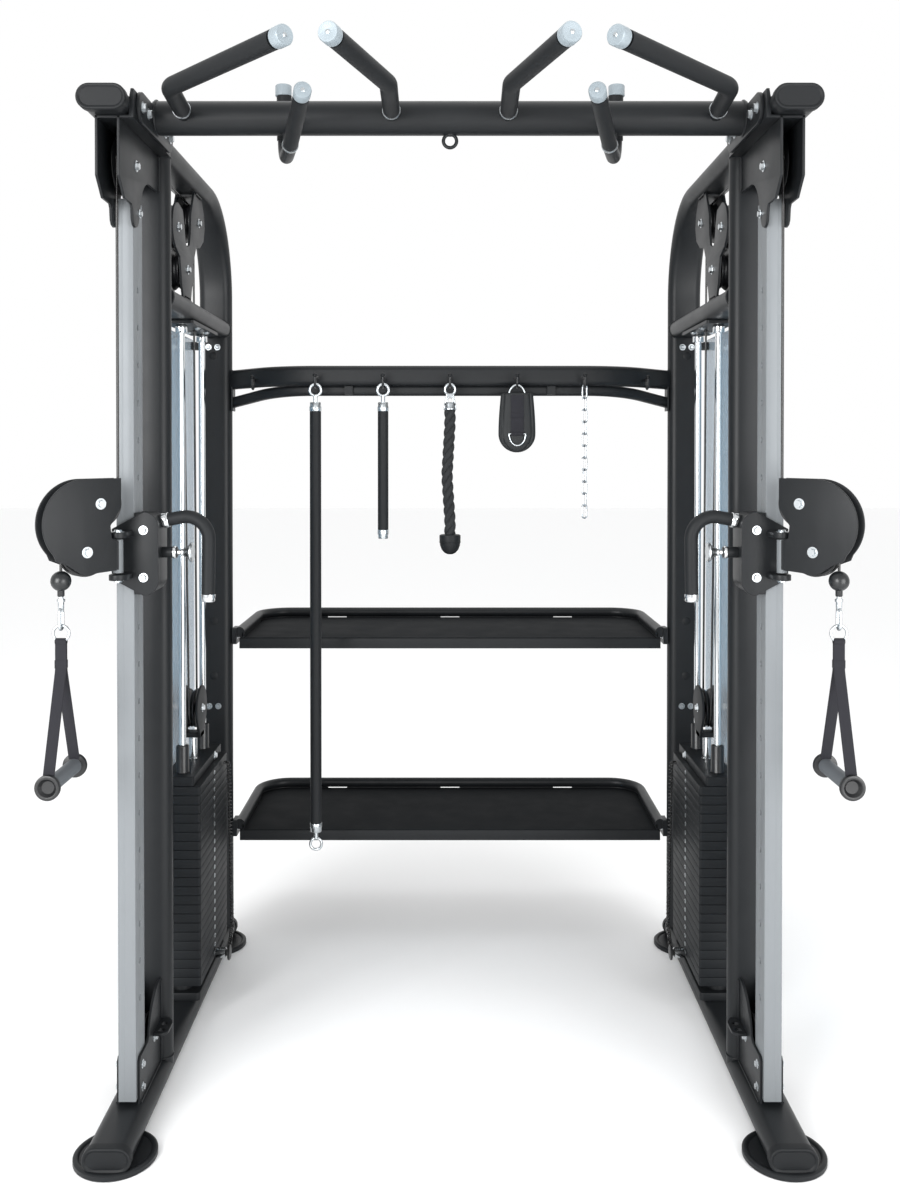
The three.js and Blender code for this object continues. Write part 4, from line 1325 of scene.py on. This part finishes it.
# ---- Weights -----------------------------------------------------------------------------------------
class TRAINER_OT_weights(PieceOperator, bpy.types.Operator):
    """Build the plates, head plate, guide rods, selector pin and lanyard of both stacks"""

    bl_idname = "trainer.weights"
    bl_label = "Weight stacks"

    def build(self, context):
        sizes = context.scene.trainer_sizes
        for side in SIDES:
            self.plates(side, sizes)
            self.head(side)
            self.rods(side)
            self.pin(side)
            self.lanyard(side, sizes.lanyard_turns)

    def plates(self, side, sizes):
        """One plate is drawn on its own, and a row of copies of it makes the stack."""
        pitch = (STACK_TOP - STACK_BOTTOM) / sizes.plates
        thick = pitch - sizes.plate_gap / MM
        middle = (STACK_FRONT + STACK_BACK) / 2
        outline = eased(
            [
                (-STACK_HALF, STACK_FRONT),
                (STACK_HALF, STACK_FRONT),
                (STACK_HALF, STACK_BACK),
                (-STACK_HALF, STACK_BACK),
            ],
            7,
        )
        bores = [circle(ROD_RADIUS + 2, 28, 0, y) for y in ROD_Y]
        holes = [shifted(b, 0, -middle) for b in bores]
        plate = Form().plate("z", 0, thick, shifted(outline, 0, -middle), holes, 1.1)
        shape = plate.finish("plate", Matrix.Diagonal((MM, MM, MM, 1)))
        start = tower(side) @ Vector((0, middle, STACK_BOTTOM))
        body = "weights_" + side
        mesh = grown(
            "Row of copies",
            shape,
            count=sizes.plates,
            start=start,
            step=(0, 0, pitch * MM),
            material=bpy.data.materials["plate_paint"],
        )
        piece("plates_" + side, mesh, None, "plate_paint", body, ["weight_stack_" + side])
        # A bush for the pin shows in the inner edge of every plate.
        profile = [(3.2, -0.6), (6.2, -0.6), (6.2, 1.1), (5.6, 1.4), (3.2, 1.4), (3.2, -0.6)]
        bush = Form().turned(profile, AXIS_X.inverted(), 24)
        sign = SIDES[side]
        shape = bush.finish("bush", Matrix.Diagonal((sign * MM, MM, MM, 1)))
        first = tower(side) @ Vector((-STACK_HALF, STACK_PULLEY[0], STACK_BOTTOM + pitch / 2))
        mesh = grown(
            "Row of copies",
            shape,
            count=sizes.plates,
            start=first,
            step=(0, 0, pitch * MM),
            material=bpy.data.materials["stainless"],
        )
        piece("pin_bushes_" + side, mesh, None, "stainless", body)

    def head(self, side):
        place = tower(side)
        body = "weights_" + side
        y, z = STACK_PULLEY
        form = Form()
        corners = [
            (-HEAD_HALF, STACK_FRONT),
            (HEAD_HALF, STACK_FRONT),
            (HEAD_HALF, STACK_BACK),
            (-HEAD_HALF, STACK_BACK),
        ]
        bores = [circle(ROD_RADIUS + 1.5, 28, 0, r) for r in ROD_Y]
        form.plate("z", STACK_TOP + 0.3, SLAB_TOP, eased(corners, 7), bores, 1.5)
        cheek = [(y - 22, 735), *arc(y, z, 63, 215, -35, 36), (y + 22, 735)]
        cheeks(form, cheek[::-1])
        form.box(-CHEEK_OUT, CHEEK_OUT, y - 22, y + 22, 735, 748)
        piece("head_plate_" + side, form, place, "plate_paint", body, ["top_plate_" + side])
        bright = Form()
        for rod in ROD_Y:
            bore = ROD_RADIUS + 1.4
            profile = [
                (bore, SLAB_TOP),
                (18.5, SLAB_TOP),
                (18.5, SLAB_TOP + 2),
                (17.6, SLAB_TOP + 3.5),
                (17.6, SLEEVE_TOP - 4),
                (16.6, SLEEVE_TOP - 1),
                (15, SLEEVE_TOP),
                (bore, SLEEVE_TOP),
            ]
            turn = (2 * math.pi * i / 48 for i in range(48))
            rows = [[(r * math.cos(t), rod + r * math.sin(t), h) for r, h in profile] for t in turn]
            bright.rings(rows, closed=True)
        piece("sleeves_" + side, bright, place, "nylon", body)
        profile = [(0, 667), (15, 667), (15, 673), (11.5, 675), (11.5, 730), (14, 732), (14, 738), (0, 738)]
        stem = Form().turned(profile, at(0, y, 0))
        piece("lifting_stem_" + side, stem, place, "chrome", body)
        bolts = [((way * CHEEK_OUT, y, z), (way, 0, 0)) for way in (-1, 1)]
        bolts += [((-HEAD_HALF, 852, SLAB_TOP - 12), (-1, 0, 0))]
        screws("head_bolts_" + side, place, bolts, body, 9, 6, 0.86)

    def rods(self, side):
        place = tower(side)
        form = Form()
        for y in ROD_Y:
            form.turned([(0, 62), (ROD_RADIUS, 62), (ROD_RADIUS, 1888), (0, 1888)], at(0, y, 0))
            form.turned([(0, 1862), (15, 1862), (16, 1864), (16, 1882), (15, 1885), (0, 1885)], at(0, y, 0))
        piece("rods_" + side, form, place, "chrome", "frame", ["guide_rods_" + side])
        hanger = Form()
        outline = eased([(-40, 600), (40, 600), (40, 930), (-40, 930)], 8)
        slots = [shifted(stadium(6, 12), 0, 660), shifted(stadium(6, 16), 0, 790)]
        hanger.plate("z", 1885, 1894.6, outline, slots)
        piece("rod_hanger_" + side, hanger, place, "frame_coat", "frame")
        points = [((x, y, 1885), (0, 0, -1)) for x in (-26, 26) for y in (718, 836)]
        screws("hanger_screws_" + side, place, points, "frame", 6.5, 4, 0.8)
        bumper = Form()
        bumper.plate("z", 60.3, 82, eased([(-55, 590), (55, 590), (55, 937), (-55, 937)], 12), edge=2)
        for y in ROD_Y:
            bumper.turned([(0, 80), (26, 80), (28, 82), (28, 101), (26, 104.6), (0, 104.6)], at(0, y, 0))
        piece("bumpers_" + side, bumper, place, "cap_rubber", "frame")

    def pin(self, side):
        place = tower(side)
        y = STACK_PULLEY[0]
        name = "selector_pin_" + side
        form = Form()
        form.turned([(0, -66), (5, -66), (5, -2), (3.5, 0), (0, 0)], at(0, y, PIN_Z, AXIS_X))
        grip = [(0, -93), (12.5, -93), (14, -91.5), (14, -66), (12.5, -64), (0, -64)]
        form.turned(grip, at(0, y, PIN_Z, AXIS_X))
        piece("pin_shaft_" + side, form, place, "chrome", name, [name])
        profile = [(0, -105), (17, -105), (20.5, -103.5), (20.5, -99.5), (17, -98), (9, -97), (9, -92), (0, -92)]
        knob = Form().turned(profile, at(0, y, PIN_Z, AXIS_X))
        piece("pin_knob_" + side, knob, place, "nylon", name)

    def lanyard(self, side, turns):
        """A coiled cord that hangs from the top plates to the pin."""
        place = tower(side)
        body = "weights_" + side
        corners = [(-71, 852, 635), (-74, 905, 620, 25), (-76, 926, 300, 100), (-80, 920, 135, 20), (-96, 796, 118)]
        spine = rounded(corners, 10)
        spine = spaced(spine, 4)
        total = sum((b - a).length for a, b in zip(spine, spine[1:]))
        points = []
        stations = 12 * turns
        reference = Vector((0, 1, 0))
        for i in range(stations + 1):
            target = total * i / stations
            here, tangent = self.along(spine, target)
            first = (reference - tangent * reference.dot(tangent)).normalized()
            reference = first
            second = tangent.cross(first)
            angle = 2 * math.pi * turns * i / stations
            reach = 4.6 * min(1, target / 12, (total - target) / 12 + 0.02)
            points.append(here + first * reach * math.cos(angle) + second * reach * math.sin(angle))
        form = Form().sweep(points, circle(1.5, 7))
        name = "lanyard_" + side
        piece("lanyard_coil_" + side, form, place, "cable_jacket", body, [name])

    @staticmethod
    def along(points, target):
        """The place and the direction at a length along a line of points."""
        run = 0
        for before, after in zip(points, points[1:]):
            step = (after - before).length
            if run + step >= target or after is points[-1]:
                t = min(1, (target - run) / step)
                return before.lerp(after, t), (after - before).normalized()
            run += step


class TRAINER_OT_shield(PieceOperator, bpy.types.Operator):
    """Build the tinted shields and the brackets that hold them"""

    bl_idname = "trainer.shield"
    bl_label = "Side shields"

    def build(self, context):
        for side in SIDES:
            place = tower(side)
            outline = eased([(352, 300), (1064, 300), (1064, 1886), (352, 1886)], 22, 8)
            form = Form().plate("x", 62, 66, outline, edge=0.8)
            name = "side_shield_" + side
            piece("shield_sheet_" + side, form, place, "shield_tint", "frame", [name])
            mounts = Form()
            points = []
            for z in (SHIELD_LOW_Z, SHIELD_HIGH_Z):
                for y in (1040, 390):
                    mounts.box(44, 62, y - 12, y + 12, z - 12, z + 12)
                    points.append(((66, y, z), (1, 0, 0)))
            piece("shield_mounts_" + side, mounts, place, "frame_coat", "frame")
            screws("shield_screws_" + side, place, points, "frame", 6, 3, 0.6, 20)
            front = REAR_Y - TUBE_THICK / 2
            points = [((x, front, z), (0, -1, 0)) for x in (-9, 19) for z in (SHIELD_LOW_Z, SHIELD_HIGH_Z)]
            screws("upright_screws_" + side, place, points, "frame", 7, 4.5, 0.6, 20)


# ---- What joins the towers ---------------------------------------------------------------------------
class TRAINER_OT_pullup_beam(PieceOperator, bpy.types.Operator):
    """Build the beam between the towers, with its six grips and its hanging eye"""

    bl_idname = "trainer.pullup_beam"
    bl_label = "Pull-up beam"

    def build(self, context):
        half = TOWER_X - 56 - 0.3
        form = Form()
        tube_end = half - 3
        profile = [(0, -tube_end), (BEAM_RADIUS, -tube_end), (BEAM_RADIUS, tube_end), (0, tube_end)]
        form.turned(profile, at(0, BEAM_Y, BEAM_Z, AXIS_X), 64)
        sleeves, caps, rings = Form(), Form(), Form()
        for way in (-1, 1):
            low, high = sorted((way * half, way * (half - 8)))
            form.plate("x", low, high, shifted(swapped(stadium(34, 150)), BEAM_Y, BEAM_Z - 12), edge=1.5)
            self.flange_weld(form, way * (half - 9))
            outer = [(way * 598, BEAM_Y, BEAM_Z), (way * 583, -92, BEAM_Z, 60), (way * 300, -392, BEAM_Z)]
            inner = [(way * 131, BEAM_Y, BEAM_Z), (way * 127, -115, BEAM_Z, 60), (way * 221, -408, BEAM_Z)]
            neutral = [
                (way * 390, 214, 2370),
                (way * 386, 214, 2220, 42),
                (way * 362, 112, 2222),
                (way * 294, -185, 2261),
            ]
            for path in (outer, inner, neutral):
                form.sweep(cut_short(rounded(path, 16), 14), circle(16, 28))
            for path in (outer, inner):
                self.sleeve(sleeves, caps, rings, path, 19, 62)
            self.sleeve(sleeves, caps, rings, neutral[2:], 17.2, 18)
            self.upright_sleeve(sleeves, caps, way)
            form.box(way * 367 - 11, way * 367 + 11, 118, 150, 2226, 2266)
        piece("beam_skin", form, shared(), "frame_coat", "frame", ["pullup_beam"])
        piece("grip_sleeves", sleeves, shared(), "grip_sleeve", "frame")
        piece("grip_caps", caps, shared(), "grip_cap", "frame")
        piece("grip_rings", rings, shared(), "stainless", "frame")
        eye = Form().ring(15, 4, at(0, BEAM_Y, 2244, AXIS_Y))
        eye.turned([(0, 2256), (9, 2256), (10, 2258), (10, 2262), (0, 2262)], at(0, BEAM_Y, 0))
        piece("hanging_eye", eye, shared(), "frame_coat", "frame")
        points = []
        for way in (-1, 1):
            for y in (-122, -74, 74, 122):
                points.append(((way * (half - 8), BEAM_Y + y, BEAM_Z - 12), (-way, 0, 0)))
        screws("flange_bolts", shared(), points, "frame", 9.5, 7, 0.9)

    @staticmethod
    def flange_weld(form, x):
        ring = [(x, BEAM_Y + a, BEAM_Z + b) for a, b in circle(BEAM_RADIUS + 0.5, 32)]
        weld(form, ring + ring[:1], 3)

    @staticmethod
    def sleeve(sleeves, caps, rings, path, radius, start):
        """Rubber over a grip from start to its end, then a ring at its root and a cap on its tip."""
        points = spaced(rounded(path, 16), 8)
        run, kept = 0, []
        for before, after in zip(points, points[1:]):
            run += (after - before).length
            if run >= start:
                kept.append(after)
        tip = kept[-1]
        outward = (kept[-1] - kept[-2]).normalized()
        trimmed = [p for p in kept if (tip - p).length > 24]
        sleeves.sweep(trimmed, circle(radius, 36))
        turn = outward.to_track_quat("Z", "Y").to_matrix().to_4x4()
        base = Matrix.Translation(tip - outward * 26) @ turn
        size = radius + 1
        profile = [
            (0, 0),
            (size - 1.5, 0),
            (size, 1.5),
            (size, 23.5),
            (size - 1.5, 26),
            (size - 6, 26),
            (6, 25),
            (0, 25),
        ]
        caps.turned(profile, base)
        rings.turned([(0, 24.5), (5, 24.5), (5, 26), (4, 26.5), (0, 26.5)], base, 6)
        first, second = trimmed[0], trimmed[2]
        inward = (second - first).normalized()
        turn = inward.to_track_quat("Z", "Y").to_matrix().to_4x4()
        band = [(0, -5), (size, -5), (size + 0.6, -4), (size + 0.6, 1), (size, 2), (0, 2)]
        rings.turned(band, Matrix.Translation(first) @ turn)

    @staticmethod
    def upright_sleeve(sleeves, caps, way):
        sleeves.turned([(0, 2268), (17.2, 2268), (17.2, 2372), (0, 2372)], at(way * 388, 214, 0), 36)
        profile = [(0, 2370), (17.5, 2370), (19, 2371.5), (19, 2394), (17.5, 2396), (13, 2396), (6, 2395), (0, 2395)]
        caps.turned(profile, at(way * 390, 214, 0), 48)


class TRAINER_OT_accessory_bar(PieceOperator, bpy.types.Operator):
    """Build the accessory bar with its row of hooks"""

    bl_idname = "trainer.accessory_bar"
    bl_label = "Accessory bar"

    def build(self, context):
        end = TOWER_X - TUBE_WIDE / 2 - 0.3
        form = Form()
        for section, (middle_y, middle_z), (end_y, end_z) in (
            (stadium(15, 30), (910, 1765), (1100, 1765)),
            (stadium(12, 17), (935, 1724), (1102, 1694)),
        ):
            path = [
                (-end, end_y, end_z),
                (-505, middle_y, middle_z, 250),
                (505, middle_y, middle_z, 250),
                (end, end_y, end_z),
            ]
            form.sweep(rounded(path, 20), swapped(section), side=(0, 0, 1))
        for x in (-300, 0, 300):
            form.box(x - 12, x + 12, 912, 942, 1710, 1750)
        for way in (-1, 1):
            low, high = sorted((way * end, way * (end - 5)))
            form.box(low, high, 1078, 1122, 1668, 1795)
        piece("accessory_rail", form, shared(), "frame_coat", "frame", ["accessory_bar"])
        hooks, tips = Form(), Form()
        half = 13.5
        for x in HOOK_X:
            y = HOOK_Y + (93 if abs(x) > 505 else 0)
            path = [
                (x, y + 43, 1757),
                (x, y + half, 1757, 8),
                (x, y + half, HOOK_Z, half - 0.1),
                (x, y - half, HOOK_Z, half - 0.1),
                (x, y - half - 3, 1761),
            ]
            hooks.tube(3.5, path, 14, 8)
            tips.ball(6.5, (x, y - half - 3, 1763))
            hooks.turned([(0, 0), (8, 0), (8, 2), (7, 3), (0, 3)], at(x, y + 33, 1757, AXIS_Y.inverted()), 28)
        piece("accessory_hooks", hooks, shared(), "nylon", "frame")
        piece("hook_tips", tips, shared(), "cap_rubber", "frame")


class TRAINER_OT_shelves(PieceOperator, bpy.types.Operator):
    """Build both shelves: tray, tube rim and mounting plates"""

    bl_idname = "trainer.shelves"
    bl_label = "Shelves"

    def build(self, context):
        for name, z in (("upper_shelf", 963), ("lower_shelf", 363)):
            self.shelf(name, z)

    def shelf(self, name, z):
        half, front, back, rim, bend = 672, 1085, 1560, 16, 100
        edge = half - rim
        tube_z = z + 17
        corner_y = back - rim - bend
        outline = [
            (-edge, front),
            (edge, front),
            *arc(edge - bend, corner_y, bend - 6, 0, 90, 16),
            *arc(bend - edge, corner_y, bend - 6, 90, 180, 16),
        ]
        tray = Form().plate("z", z - 4, z, outline, edge=1.2)
        piece(name + "_tray", tray, shared(), "shelf_coat", "frame", [name])
        form = Form()
        form.box(-edge, edge, front, front + 4, z - 34, z - 1)
        for way in (-1, 1):
            low, high = sorted((way * (edge - 12), way * (edge - 8)))
            form.box(low, high, front, back - 140, z - 4, tube_z)
            low, high = sorted((way * (half - 8), way * (half + 6.5)))
            form.box(low, high, 1080, 1130, z - 20, z + 30)
        path = [
            (-edge, front, tube_z),
            (-edge, back - rim, tube_z, bend),
            (edge, back - rim, tube_z, bend),
            (edge, front, tube_z),
        ]
        form.tube(rim, path, 32, 24)
        # a bead joins the tray to the tube, with three open slots along the back
        slot_half, slot_pitch, bead = 33, 395, 3.2
        bead_z, bead_y = z + 0.4, back - rim - 4
        for way in (-1, 1):
            form.tube(
                bead,
                [
                    (way * (edge - 4), front + 6, bead_z),
                    (way * (edge - 4), bead_y, bead_z, bend - 4),
                    (way * (slot_pitch + slot_half), bead_y, bead_z),
                ],
                12,
                24,
            )
            form.tube(
                bead,
                [(way * (slot_pitch - slot_half), bead_y, bead_z), (way * slot_half, bead_y, bead_z)],
                12,
            )
        piece(name + "_skin", form, shared(), "frame_coat", "frame")
        points = [((way * (half - 8), y, z + 4), (-way, 0, 0)) for way in (-1, 1) for y in (1094, 1116)]
        screws(name + "_screws", shared(), points, "frame", 6.5, 4.5, 0.8, 20)


# ---- Accessories -------------------------------------------------------------------------------------
class TRAINER_OT_accessories(PieceOperator, bpy.types.Operator):
    """Build the bars, rope, cuff and chain that hang on the hooks"""

    bl_idname = "trainer.accessories"
    bl_label = "Accessories"

    def build(self, context):
        self.bar("long_bar", 1, 16.5, 1255, 2)
        self.bar("short_bar", 2, 15.5, 397, 1)
        self.rope(context.scene.trainer_sizes.rope_lay / MM)
        self.cuff()
        self.chain()

    def bar(self, name, index, radius, length, eyes):
        place = hook_place(index)
        top = EYE_Z - 36
        sleeve = Form()
        low, high = top - length + 26, top - 26
        lower = [(0, low), (radius - 1, low), (radius, low + 1)]
        upper = [(radius, high - 1), (radius - 1, high), (0, high)]
        profile = lower + upper
        sleeve.turned(profile)
        piece(name + "_sleeve", sleeve, place, "grip_sleeve", name, [name])
        bright = Form()
        bright.ring(16.5, 4, at(0, 0, EYE_Z, AXIS_Y))
        bright.turned([(0, top - 4), (6, top - 4), (6, top + 20), (0, top + 20)])
        for z, way in ((top, 1), (top - length, -1)):
            profile = [
                (0, 26),
                (radius + 0.6, 26),
                (radius + 1.2, 25),
                (radius + 1.2, 14),
                (radius - 0.5, 10),
                (radius - 0.5, 2),
                (radius - 2, 0),
                (0, 0),
            ]
            bright.turned([(r, z - way * h) for r, h in profile])
        if eyes > 1:
            stem_low, stem_high = top - length - 20, top - length + 4
            bright.turned([(0, stem_low), (6, stem_low), (6, stem_high), (0, stem_high)])
            bright.ring(16.5, 4, at(0, 0, top - length - 36, AXIS_Y))
        piece(name + "_ends", bright, place, "stainless", name)

    def rope(self, lay):
        place = hook_place(3)
        body = "pull_rope"
        clamp = Form()
        clamp.ring(15, 4, at(0, 0, EYE_Z + 1.5, AXIS_Y))
        low, high = EYE_Z - 58, EYE_Z - 10
        jaw = eased([(low, -19), (high, -11), (high, 11), (low, 19)], 5)
        gap = eased([(low + 8, -8), (high - 14, -5), (high - 14, 5), (low + 8, 8)], 3)
        clamp.plate("y", -8.5, 8.5, jaw, [gap], 2)
        cup = [(0, low - 1), (16, low - 1), (18.5, low + 1), (18.5, low + 5), (16.8, low + 8), (17.6, low + 17)]
        clamp.turned([*cup, (15, low + 22), (0, low + 22)])
        piece("rope_clamp_skin", clamp, place, "zinc", body, ["rope_clamp"])
        spine = spaced(
            rounded(
                [
                    (0, 0, ROPE_TOP + 6),
                    (0, 0, ROPE_TOP - 40, 300),
                    (-9, 0, 1470, 300),
                    (0, 0, ROPE_BOTTOM + 40, 300),
                    (0, 0, ROPE_BOTTOM - 6),
                ],
                6,
            ),
            5,
        )
        form = Form()
        for strand in range(3):
            points, run = [], 0
            for i, here in enumerate(spine):
                run += (here - spine[i - 1]).length if i else 0
                angle = 2 * math.pi * (strand / 3 - run / lay)
                points.append(here + Vector((8.2 * math.cos(angle), 8.2 * math.sin(angle), 0)))
            form.sweep(points, circle(8.9, 18))
        rope = piece("rope_strands", form, place, "rope_yarn", body, ["pull_rope"])
        end = Form()
        bottom = ROPE_BOTTOM - 0.3
        profile = [
            (0, 0),
            (27, 0),
            (30.5, -1.6),
            (31, -5),
            (30.8, -18),
            (29, -32),
            (24.5, -44),
            (16, -53.5),
            (8, -57.2),
            (0, -58),
        ]
        end.turned([(r, bottom + h) for r, h in profile[::-1]])
        end.ring(30.2, 1.5, at(0, 0, bottom - 22))
        bell = piece("rope_bell", end, place, "cap_rubber", body, ["rope_end"])

    def cuff(self):
        """A padded cuff folded flat: a crowned pad with sewn edges, a webbing strip and two D-rings."""
        place = hook_place(4)
        body = "ankle_cuff"
        top = EYE_Z - 8
        bottom_z = top - 120
        rows = []
        for t in self.quarter(80, 0, 5):
            rows.append((44 * math.cos(t) + 3, 15 * math.cos(t) + 1.5, top - 5 + 5 * math.sin(t)))
        for i in range(1, 30):
            v = i / 29
            flare, crown = 7 * math.sin(v * math.pi / 2), 1.2 * math.sin(math.pi * v)
            rows.append((47 + flare, 16.5 + crown, top - 5 - 115 * v))
        for t in self.quarter(6, 86, 16):
            rows.append((54 * math.cos(t), 16.5 * math.cos(t) ** 0.6, bottom_z - 54 * math.sin(t)))
        rings = []
        for half, thick, z in rows:
            ring = []
            for k in range(72):
                t = 2 * math.pi * k / 72
                x = half * math.copysign(abs(math.cos(t)) ** 0.75, math.cos(t))
                seam = math.exp(-(((abs(x) - half + 11) / 2.2) ** 2))
                y = thick * (1 - 0.22 * seam) * math.copysign(abs(math.sin(t)) ** 0.6, math.sin(t))
                ring.append((x, y, z))
            rings.append(ring)
        pad = Form().rings(rings)
        obj = piece("cuff_pad", pad, place, "cuff_cloth", body, ["ankle_cuff"])
        strap = Form()
        section = eased([(-18.5, -1.1), (18.5, -1.1), (18.5, 1.1), (-18.5, 1.1)], 0.9, 3)
        front = -18.6
        bar_z = HOOK_Z - 26
        path = [
            (0, front, bottom_z + 1),
            (0, front, top - 8, 6),
            (0, -3.9, bar_z + 4.2, 5),
            (0, 3.9, bar_z + 4.2, 4),
            (0, 3.9, top - 20),
        ]
        strap.sweep(spaced(rounded(path, 8), 6), section, side=(1, 0, 0))
        turns = self.quarter(-90, 270, 24)
        fold = [(0, front + 4.2 * math.cos(t) - 1, bottom_z + 4.2 * math.sin(t)) for t in turns]
        strap.sweep(fold, section, side=(1, 0, 0))
        strap.box(-19, 19, front - 2.4, front + 1, top - 72, top - 60, 0.8)
        piece("cuff_strap", strap, place, "webbing", body)
        metal = Form()
        self.d_ring(metal, 0, bar_z, 1, 32)
        self.d_ring(metal, front - 1, bottom_z, -1, 34)
        piece("cuff_rings", metal, place, "stainless", body)

    @staticmethod
    def quarter(first, last, steps):
        return [math.radians(first + (last - first) * i / steps) for i in range(steps + 1)]

    def d_ring(self, form, y, z, way, height):
        """A straight bar at z with a bow above it or below it."""
        half = 24
        bow = [(half * math.cos(t), y, z + way * height * math.sin(t)) for t in self.quarter(0, 180, 24)]
        middle = [(0, y, z)]
        form.tube(2.6, middle + bow + middle, 12)

    def chain(self):
        """A row of copies of one bent link, each turned a quarter from the last."""
        pitch, wire = 34.8, 2.3
        half = pitch / 2 + wire
        link = Form()
        loop = [(x, 0, z) for x, z in stadium(7.2, half, 8)]
        link.tube(wire, loop + loop[:1], 8)
        turn = Matrix.Rotation(math.radians(24), 4, "Z")
        shape = link.finish("link", Matrix.Diagonal((MM, MM, MM, 1)) @ turn)
        start = hook_place(5) @ Vector((0, 0, HOOK_Z + 3.6 - pitch / 2))
        mesh = grown(
            "Row of copies",
            shape,
            count=11,
            start=start,
            step=(0, 0, -pitch * MM),
            turn=math.pi / 2,
            material=bpy.data.materials["zinc"],
        )
        piece("chain_links", mesh, None, "zinc", "chain", ["chain"])


# ---- Stage -------------------------------------------------------------------------------------------
class TRAINER_OT_stage(PieceOperator, bpy.types.Operator):
    """Make the pale floor, the soft lights and the camera"""

    bl_idname = "trainer.stage"
    bl_label = "Stage"

    def build(self, context):
        floor_mesh = bpy.data.meshes.new("floor")
        reach = 30
        corners = [(-reach, -reach, 0), (reach, -reach, 0), (reach, reach, 0), (-reach, reach, 0)]
        floor_mesh.from_pydata(corners, [], [(0, 1, 2, 3)])
        floor = bpy.data.objects.new("floor", floor_mesh)
        context.collection.objects.link(floor)
        surface("floor_paint", (0.955, 0.958, 0.96), 0.7, grain=40, depth=0.02, mottle=0.01)
        floor_mesh.materials.append(bpy.data.materials["floor_paint"])

        world = bpy.data.worlds.new("studio")
        world.use_nodes = True
        world.node_tree.nodes["Background"].inputs["Color"].default_value = (1, 1, 1, 1)
        world.node_tree.nodes["Background"].inputs["Strength"].default_value = 1.0
        context.scene.world = world
        for name, position, size, power in (
            ("key", (-2.4, -4.2, 2.0), 2.4, 210),
            ("fill", (2.8, -4.0, 1.5), 2.8, 160),
            ("top", (0, 0.4, 4.6), 3.2, 25),
        ):
            light = bpy.data.lights.new(name, "AREA")
            light.energy = power
            light.size = size
            lamp = bpy.data.objects.new(name, light)
            context.collection.objects.link(lamp)
            lamp.location = position
            aim = Vector((0, 0, 1.1)) - Vector(position)
            lamp.rotation_euler = aim.to_track_quat("-Z", "Y").to_euler()

        lens = bpy.data.cameras.new("camera")
        lens.lens = 34.5
        lens.sensor_width = 36
        lens.sensor_fit = "VERTICAL"
        lens.sensor_height = 36
        lens.clip_end = 100
        lens.shift_y = -0.109
        camera = bpy.data.objects.new("camera", lens)
        context.collection.objects.link(camera)
        camera.location = (0.0, -2.49 - DEPTH_CENTRE * MM, 1.531)
        camera.rotation_euler = (math.radians(89.3), 0, 0)
        context.scene.camera = camera
        context.scene.view_settings.view_transform = "Standard"


class TRAINER_PT_panel(bpy.types.Panel):
    bl_idname = "TRAINER_PT_panel"
    bl_label = "Functional trainer"
    bl_space_type = "VIEW_3D"
    bl_region_type = "UI"
    bl_category = "Trainer"

    def draw(self, context):
        for group in (context.scene.trainer_colours, context.scene.trainer_sizes):
            for key in group.bl_rna.properties.keys():
                if key not in ("rna_type", "name"):
                    self.layout.prop(group, key)
        for operator in OPERATORS:
            self.layout.operator(operator.bl_idname)


OPERATORS = (
    TRAINER_OT_materials,
    TRAINER_OT_tower_frame,
    TRAINER_OT_guide_rail,
    TRAINER_OT_pulleys,
    TRAINER_OT_cable,
    TRAINER_OT_carriage,
    TRAINER_OT_arm,
    TRAINER_OT_cable_end,
    TRAINER_OT_weights,
    TRAINER_OT_shield,
    TRAINER_OT_pullup_beam,
    TRAINER_OT_accessory_bar,
    TRAINER_OT_shelves,
    TRAINER_OT_accessories,
    TRAINER_OT_stage,
)
CLASSES = (TrainerColours, TrainerSizes, *OPERATORS, TRAINER_PT_panel)


def register():
    for cls in CLASSES:
        bpy.utils.register_class(cls)
    bpy.types.Scene.trainer_colours = PointerProperty(type=TrainerColours)
    bpy.types.Scene.trainer_sizes = PointerProperty(type=TrainerSizes)


def unregister():
    del bpy.types.Scene.trainer_sizes
    del bpy.types.Scene.trainer_colours
    for cls in reversed(CLASSES):
        bpy.utils.unregister_class(cls)


def main():
    register()
    for operator in OPERATORS:
        group, name = operator.bl_idname.split(".")
        getattr(getattr(bpy.ops, group), name)()


if __name__ == "__main__":
    main()
